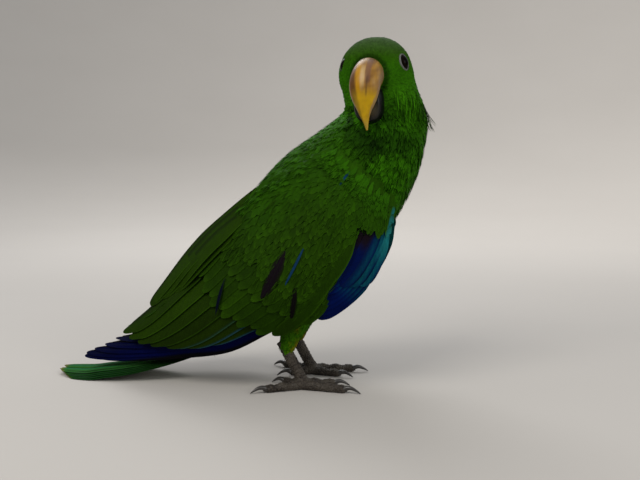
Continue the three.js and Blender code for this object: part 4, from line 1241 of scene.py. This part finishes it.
colour = painted(
    OCHRE,
    (0.25 + 0.2 * streaks + 0.2 * patchy, UMBER),
    (ease(-np.abs(share + 0.34), -0.26, -0.12) * ease(below, 20, 26), GOLD),
    # painted highlight: a pale streak down the bill's left middle, for a glint of light on the horn
    (ease(-np.abs(share + 0.02), -0.2, -0.08) * ease(below, 21, 26) * ease(-below, -42, -32) * 0.6,
     paint(198, 168, 116)),
    (ease(-share, 0.42, 0.6) * ease(below, 14, 20), paint(92, 58, 18)),
    (ease(-np.abs(share - 0.32), -0.24, -0.10) * ease(-below, -38, -31) * 0.8, MAUVE),
    (ease(below, 36, 45) * (1 - 0.5 * ease(-share, 0.6, 0.85) * ease(-below, -50, -44)), low_gold),
    (ease(-np.abs(share - 0.30 - 0.02 * streaks), -0.13, -0.02) * ease(-below, -45, -40)
     * ease(below, 27, 33) * 0.6, paint(62, 38, 20)),
    (pale * 0.6, RIM * (1 - 0.6 * ease(-below, -26, -20))[:, None]),
    (ease(below, 55, 62) * 0.6, paint(184, 152, 70)))
tinted(mesh, np.concatenate([colour, colour[:1], colour[-1:]]))
upper_bill = piece_of("upper_bill", mesh, horn)
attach(upper_bill, "root")
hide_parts("bill_upper")

JAW_FORWARD, JAW_TOP = [12, 18, 23, 27, 29.6, 30.3], [33, 33, 34, 36, 39, 43]
JAW_BOTTOM, JAW_HALF = [58, 59, 59, 58.5, 57, 53], [10.0, 10.2, 9.9, 9.2, 7.9, 5.4]
# JAW_HIGHLIGHT is the middle of a painted highlight on the black jaw's front: forward, left and below
JAW_LEFT, JAW_SQUARE, JAW_HIGHLIGHT = 0.8, 0.7, (29, 4.5, 50)
t = np.linspace(0, len(JAW_HALF) - 1, JAW_RINGS)[:, None]
top, bottom = through(JAW_TOP, t), through(JAW_BOTTOM, t)
sway = np.sin(circle(JAW_SIDES))
rings = from_head(through(JAW_FORWARD, t),
                  JAW_LEFT + through(JAW_HALF, t) * np.sign(sway) * np.abs(sway) ** JAW_SQUARE,
                  (top + bottom) / 2 - (bottom - top) / 2 * np.cos(circle(JAW_SIDES)))
mesh = joined_mesh("lower_bill", [closed_rings(rings, rings[0].mean(0), rings[-1].mean(0))])
spots = np.array([v.co for v in mesh.vertices]) / MM
# painted highlight: a pale patch on the front of the black jaw, where light catches it
off_highlight = np.linalg.norm((spots - from_head(*JAW_HIGHLIGHT)) * [1, 1, 0.7], axis=1)
tinted(mesh, blend(0.9 * ease(-off_highlight, -5.5, -0.5), paint(8, 8, 9), paint(88, 81, 62)))
lower_bill = piece_of("lower_bill", mesh, horn)
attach(lower_bill, "root")
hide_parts("bill_lower")

# The eyes. A wet ball, dark brown round a black pupil, behind a thin ring of bare grey lid with small warts.
# Ball and lid are oval to look at, since the lids close a little over the ball from front and back.
BALL, OPENING, LID_SINK = 6.4, 5.0, 0.5
BALL_RINGS, BALL_SIDES, LID_SIDES, WARTS, WART_HEIGHT = 56, 64, 120, 30, 0.08
# how far each point across a lid is from the opening's rim, and how far it stands out
LID_PROFILE = [(-0.1, -1.2), (0, 0.1), (0.12, 0.28), (0.35, 0.34), (0.6, 0.2), (0.85, -0.1), (0.95, -1.0),
               (0.5, -3.0)]
PUPIL, IRIS_RIM = (0.46, 0.52), (0.62, 0.72)  # angles from the middle of the ball over which the colour turns


def eye_finish(link):
    threads = link.noise(1400.0, 3.0)
    return {"Base Color": (threads * 0.5).mixed(link.attribute("tint"), (0.004, 0.002, 0.001, 1)),
            "Roughness": 0.06, "Specular IOR Level": 0.03}


def lid_finish(link):
    warts = link.cells(1100.0)
    return {"Base Color": warts.between(0.1, 0.7).mixed((0.15, 0.155, 0.14, 1), (0.07, 0.075, 0.065, 1)),
            "Roughness": 0.6, "Normal": (1.0 - warts).bump(0.6, 0.0003)}


wet = finish_named("wet eye", eye_finish)
bare = finish_named("bare lid", lid_finish)
for side, which in ((-1, "right"), (1, "left")):
    spot, out, across, up = eye_frame(side)
    ball = spot - out * (math.sqrt(BALL ** 2 - OPENING ** 2) + LID_SINK)
    a = circle(BALL_SIDES)[None, :, None]
    angle = np.linspace(0.02, np.pi - 0.02, BALL_RINGS)[:, None, None]
    rings = ball + BALL * (out * np.cos(angle) + (across * np.cos(a) + up * np.sin(a)) * np.sin(angle))
    mesh = joined_mesh(f"{which}_eyeball", [closed_rings(rings, ball + out * BALL, ball - out * BALL)])
    angle = np.r_[np.repeat(angle, BALL_SIDES), 0, np.pi]
    tinted(mesh, painted(paint(2, 2, 2), (ease(angle, *PUPIL), paint(15, 9, 5)),
                         (ease(angle, *IRIS_RIM), paint(12, 8, 6))))
    eye = piece_of(f"{which}_eyeball", mesh, wet)
    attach(eye, "root")
    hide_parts(f"eye_{which}")
    a, turn = circle(LID_SIDES)[:, None], np.linspace(0, len(LID_PROFILE) - 1, 33)
    radius, height = (through(row, turn) for row in zip(*LID_PROFILE))
    radius += OPENING
    wart = (WART_HEIGHT * np.sin(WARTS * a) * ease(radius, OPENING + 0.2, OPENING + 0.6)
            * ease(-radius, -OPENING - 1.0, -OPENING - 0.6))
    radial = across * np.cos(a) + up * np.sin(a)
    rings = spot - out * LID_SINK + radial[:, None] * radius[:, None] + out * (height + wart)[..., None]
    numbers = np.pad(np.arange(radius.size * len(a)).reshape(len(a), -1), ((0, 1), (0, 1)), mode="wrap")
    mesh = joined_mesh(f"{which}_lids", [(rings.reshape(-1, 3), grid_faces(numbers).tolist())])
    lids = piece_of(f"{which}_lids", mesh, bare)
    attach(lids, "root")
    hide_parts(f"eyelid_{which}")


# The feet. Scaly skin, brownish grey, over slender bones, folded in rings round the toes and set all over
# with small domed scales. Two toes point forward and two back, each with a curved dark claw of horn.
FOOT_X, FOOT_Y, SHANK_RADIUS, FOOT_HEIGHT = 51.7, 21.0, 4.1, 4.2
PAD_RADIUS, CLAW_RADIUS, CLAW_LENGTH = 6.6, 1.75, 8.5
SHANK_RINGS, PAD_RINGS, TOE_RINGS, CLAW_RINGS, FOOT_VOXEL = 60, 20, 80, 30, 0.6
# each toe's name, its root's place across the foot, heading in degrees, length and radius
TOES = (("front_inner", -3.6, 12, 21, 3.1), ("front_outer", 3.6, -10, 30, 3.2),
        ("back_inner", -3.6, 160, 15, 2.9), ("back_outer", 3.6, 208, 26, 3.1))
SCALE_SPACING, SCALE_SIZE, SCALE_DENSITY = 1.25, 0.72, 3.0e6


def foot_finish(link):
    scales = link.cells(620.0)
    colour = scales.between(0.15, 0.75).mixed((0.046, 0.036, 0.026, 1), (0.016, 0.012, 0.009, 1))
    colour = link.noise(120.0, 4.0).between(0.35, 0.7).mixed(colour, (0.062, 0.052, 0.04, 1))
    return {"Base Color": colour, "Roughness": 0.62, "Specular IOR Level": 0.3,
            "Normal": (1.0 - scales).bump(0.8, 0.0005)}


def claw_finish(link):
    grain = link.noise(500.0, 3.0)
    return {"Base Color": grain.mixed((0.012, 0.011, 0.01, 1), (0.05, 0.045, 0.04, 1)),
            "Roughness": 0.22 + grain * 0.2}


def scale_tree():
    """Small domed scales set all over a limb, as a geometry tree with their spacing, size and seed as inputs."""
    tree = bpy.data.node_groups.new("foot scales", "GeometryNodeTree")
    for name, kind in (("Geometry", "Geometry"), ("Spacing", "Float"), ("Size", "Float"), ("Seed", "Int"),
                       ("Finish", "Material")):
        tree.interface.new_socket(name, in_out="INPUT", socket_type="NodeSocket" + kind)
    tree.interface.new_socket("Geometry", in_out="OUTPUT", socket_type="NodeSocketGeometry")
    inlet, group_out = tree.nodes.new("NodeGroupInput").outputs, tree.nodes.new("NodeGroupOutput")

    def add(kind, links, **settings):
        made = tree.nodes.new(kind)
        for key, value in settings.items():
            setattr(made, key, value)
        for key, value in links.items():
            if isinstance(value, bpy.types.NodeSocket):
                tree.links.new(value, made.inputs[key])
            else:
                made.inputs[key].default_value = value
        return made.outputs

    spots = add("GeometryNodeDistributePointsOnFaces",
                {"Mesh": inlet["Geometry"], "Distance Min": inlet["Spacing"], "Density Max": SCALE_DENSITY,
                 "Seed": inlet["Seed"]}, distribute_method="POISSON")
    dome = add("GeometryNodeMeshIcoSphere", {"Radius": 1.0, "Subdivisions": 1})
    flat = add("GeometryNodeTransform", {"Geometry": dome[0], "Scale": (1.0, 1.0, 0.42)})
    jitter = add("FunctionNodeRandomValue", {"Min": 0.8, "Max": 1.15, "Seed": inlet["Seed"]}, data_type="FLOAT")
    sizes = add("ShaderNodeMath", {0: inlet["Size"], 1: jitter[1]}, operation="MULTIPLY")
    scales = add("GeometryNodeInstanceOnPoints", {"Points": spots["Points"], "Instance": flat[0],
                                                  "Rotation": spots["Rotation"], "Scale": sizes[0]})
    solid = add("GeometryNodeRealizeInstances", {"Geometry": scales[0]})
    joined = tree.nodes.new("GeometryNodeJoinGeometry")
    tree.links.new(solid[0], joined.inputs[0])
    tree.links.new(inlet["Geometry"], joined.inputs[0])
    smooth = add("GeometryNodeSetShadeSmooth", {"Geometry": joined.outputs[0], "Shade Smooth": True})
    finish = add("GeometryNodeSetMaterial", {"Geometry": smooth[0], "Material": inlet["Finish"]})
    tree.links.new(finish[0], group_out.inputs[0])
    return tree


def toe_line(side, toe, s):
    """A place along a toe, s from its root in the foot to its end, and on past it into the claw."""
    _, root, heading, length, _ = toe
    way = math.radians(heading)
    x = FOOT_X + (2 if abs(heading) < 90 else -2) + math.cos(way) * length * s
    y = side * (FOOT_Y + root - math.sin(way) * length * s)
    return np.stack([x, y, 2.75 - 0.5 * s], -1)


scaly = finish_named("scaly foot", foot_finish)
claw_horn = finish_named("claw horn", claw_finish)
scales_over = scale_tree()
for side, which in ((-1, "right"), (1, "left")):
    heel, foot = HEEL * [1, side, 1], np.array([FOOT_X, side * FOOT_Y, FOOT_HEIGHT])
    s = np.linspace(-0.25, 1, SHANK_RINGS)
    knots = 1 + 0.05 * np.cos(2 * np.pi * s * 9)
    limbs = [tube(heel + s[:, None] * (foot - heel), (SHANK_RADIUS - 0.35 + 0.5 * ease(s, 0.75, 1)) * knots)]
    turn = np.linspace(0.04, np.pi - 0.04, PAD_RINGS)[::-1]
    heights = np.maximum(3.6 + 4.0 * np.cos(turn), 0.02 + 0.01 * np.arange(PAD_RINGS)[::-1])
    limbs.append(tube(np.c_[np.tile(foot[:2], (PAD_RINGS, 1)), heights], PAD_RADIUS * np.sin(turn) + 0.2))
    claws, replaced = [], [f"shank_{which}"]
    for toe in TOES:
        name, _, _, length, radius = toe
        s = np.linspace(0, 1, TOE_RINGS)
        joints = 3 if length > 22 else 2
        ripple = (1 + 0.055 * np.cos(2 * np.pi * s * length / 2.6)) * (1 - 0.09 * np.cos(2 * np.pi * s * joints))
        shape = radius * (1 - 0.22 * s) * ripple * np.sqrt(1 - ease(s, 0.88, 1.0) * 0.75)
        path = toe_line(side, toe, s)
        path[:, 2] = np.maximum(path[:, 2], shape + 0.02)
        limbs.append(tube(path, shape - 0.15))
        f = np.linspace(0, 1, CLAW_RINGS)
        past = np.linspace(-0.06 - 0.9 / length, CLAW_LENGTH / length + 0.03, CLAW_RINGS)
        path = toe_line(side, toe, 1 + past)
        path[:, 2] = 2.2 + 2.3 * np.sin(np.pi * f ** 0.8) - 1.6 * f
        claws.append(tube(path, CLAW_RADIUS * (1 - f) ** 0.75 + 0.22, 16))
        replaced.append(f"toe_{which}_{name}")
    leg = piece_of(f"{which}_foot", joined_mesh(f"{which}_foot", limbs), scaly)
    in_one_skin(leg, FOOT_VOXEL)
    settled(leg)
    scales = leg.modifiers.new("scales", "NODES")
    scales.node_group = scales_over
    values = {"Spacing": SCALE_SPACING * MM, "Size": SCALE_SIZE * MM, "Seed": 3 + side, "Finish": scaly}
    for item in scales_over.interface.items_tree:
        if item.in_out == "INPUT" and item.name in values:
            scales[item.identifier] = values[item.name]
    settled(leg)
    for vertex in leg.data.vertices:
        vertex.co.z = max(vertex.co.z, 0.01 * MM)
    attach(leg, "root")
    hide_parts(*replaced)
    nails = piece_of(f"{which}_claws", joined_mesh(f"{which}_claws", claws), claw_horn)
    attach(nails, "root")
    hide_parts(*(f"claw_{which}_{toe[0]}" for toe in TOES))
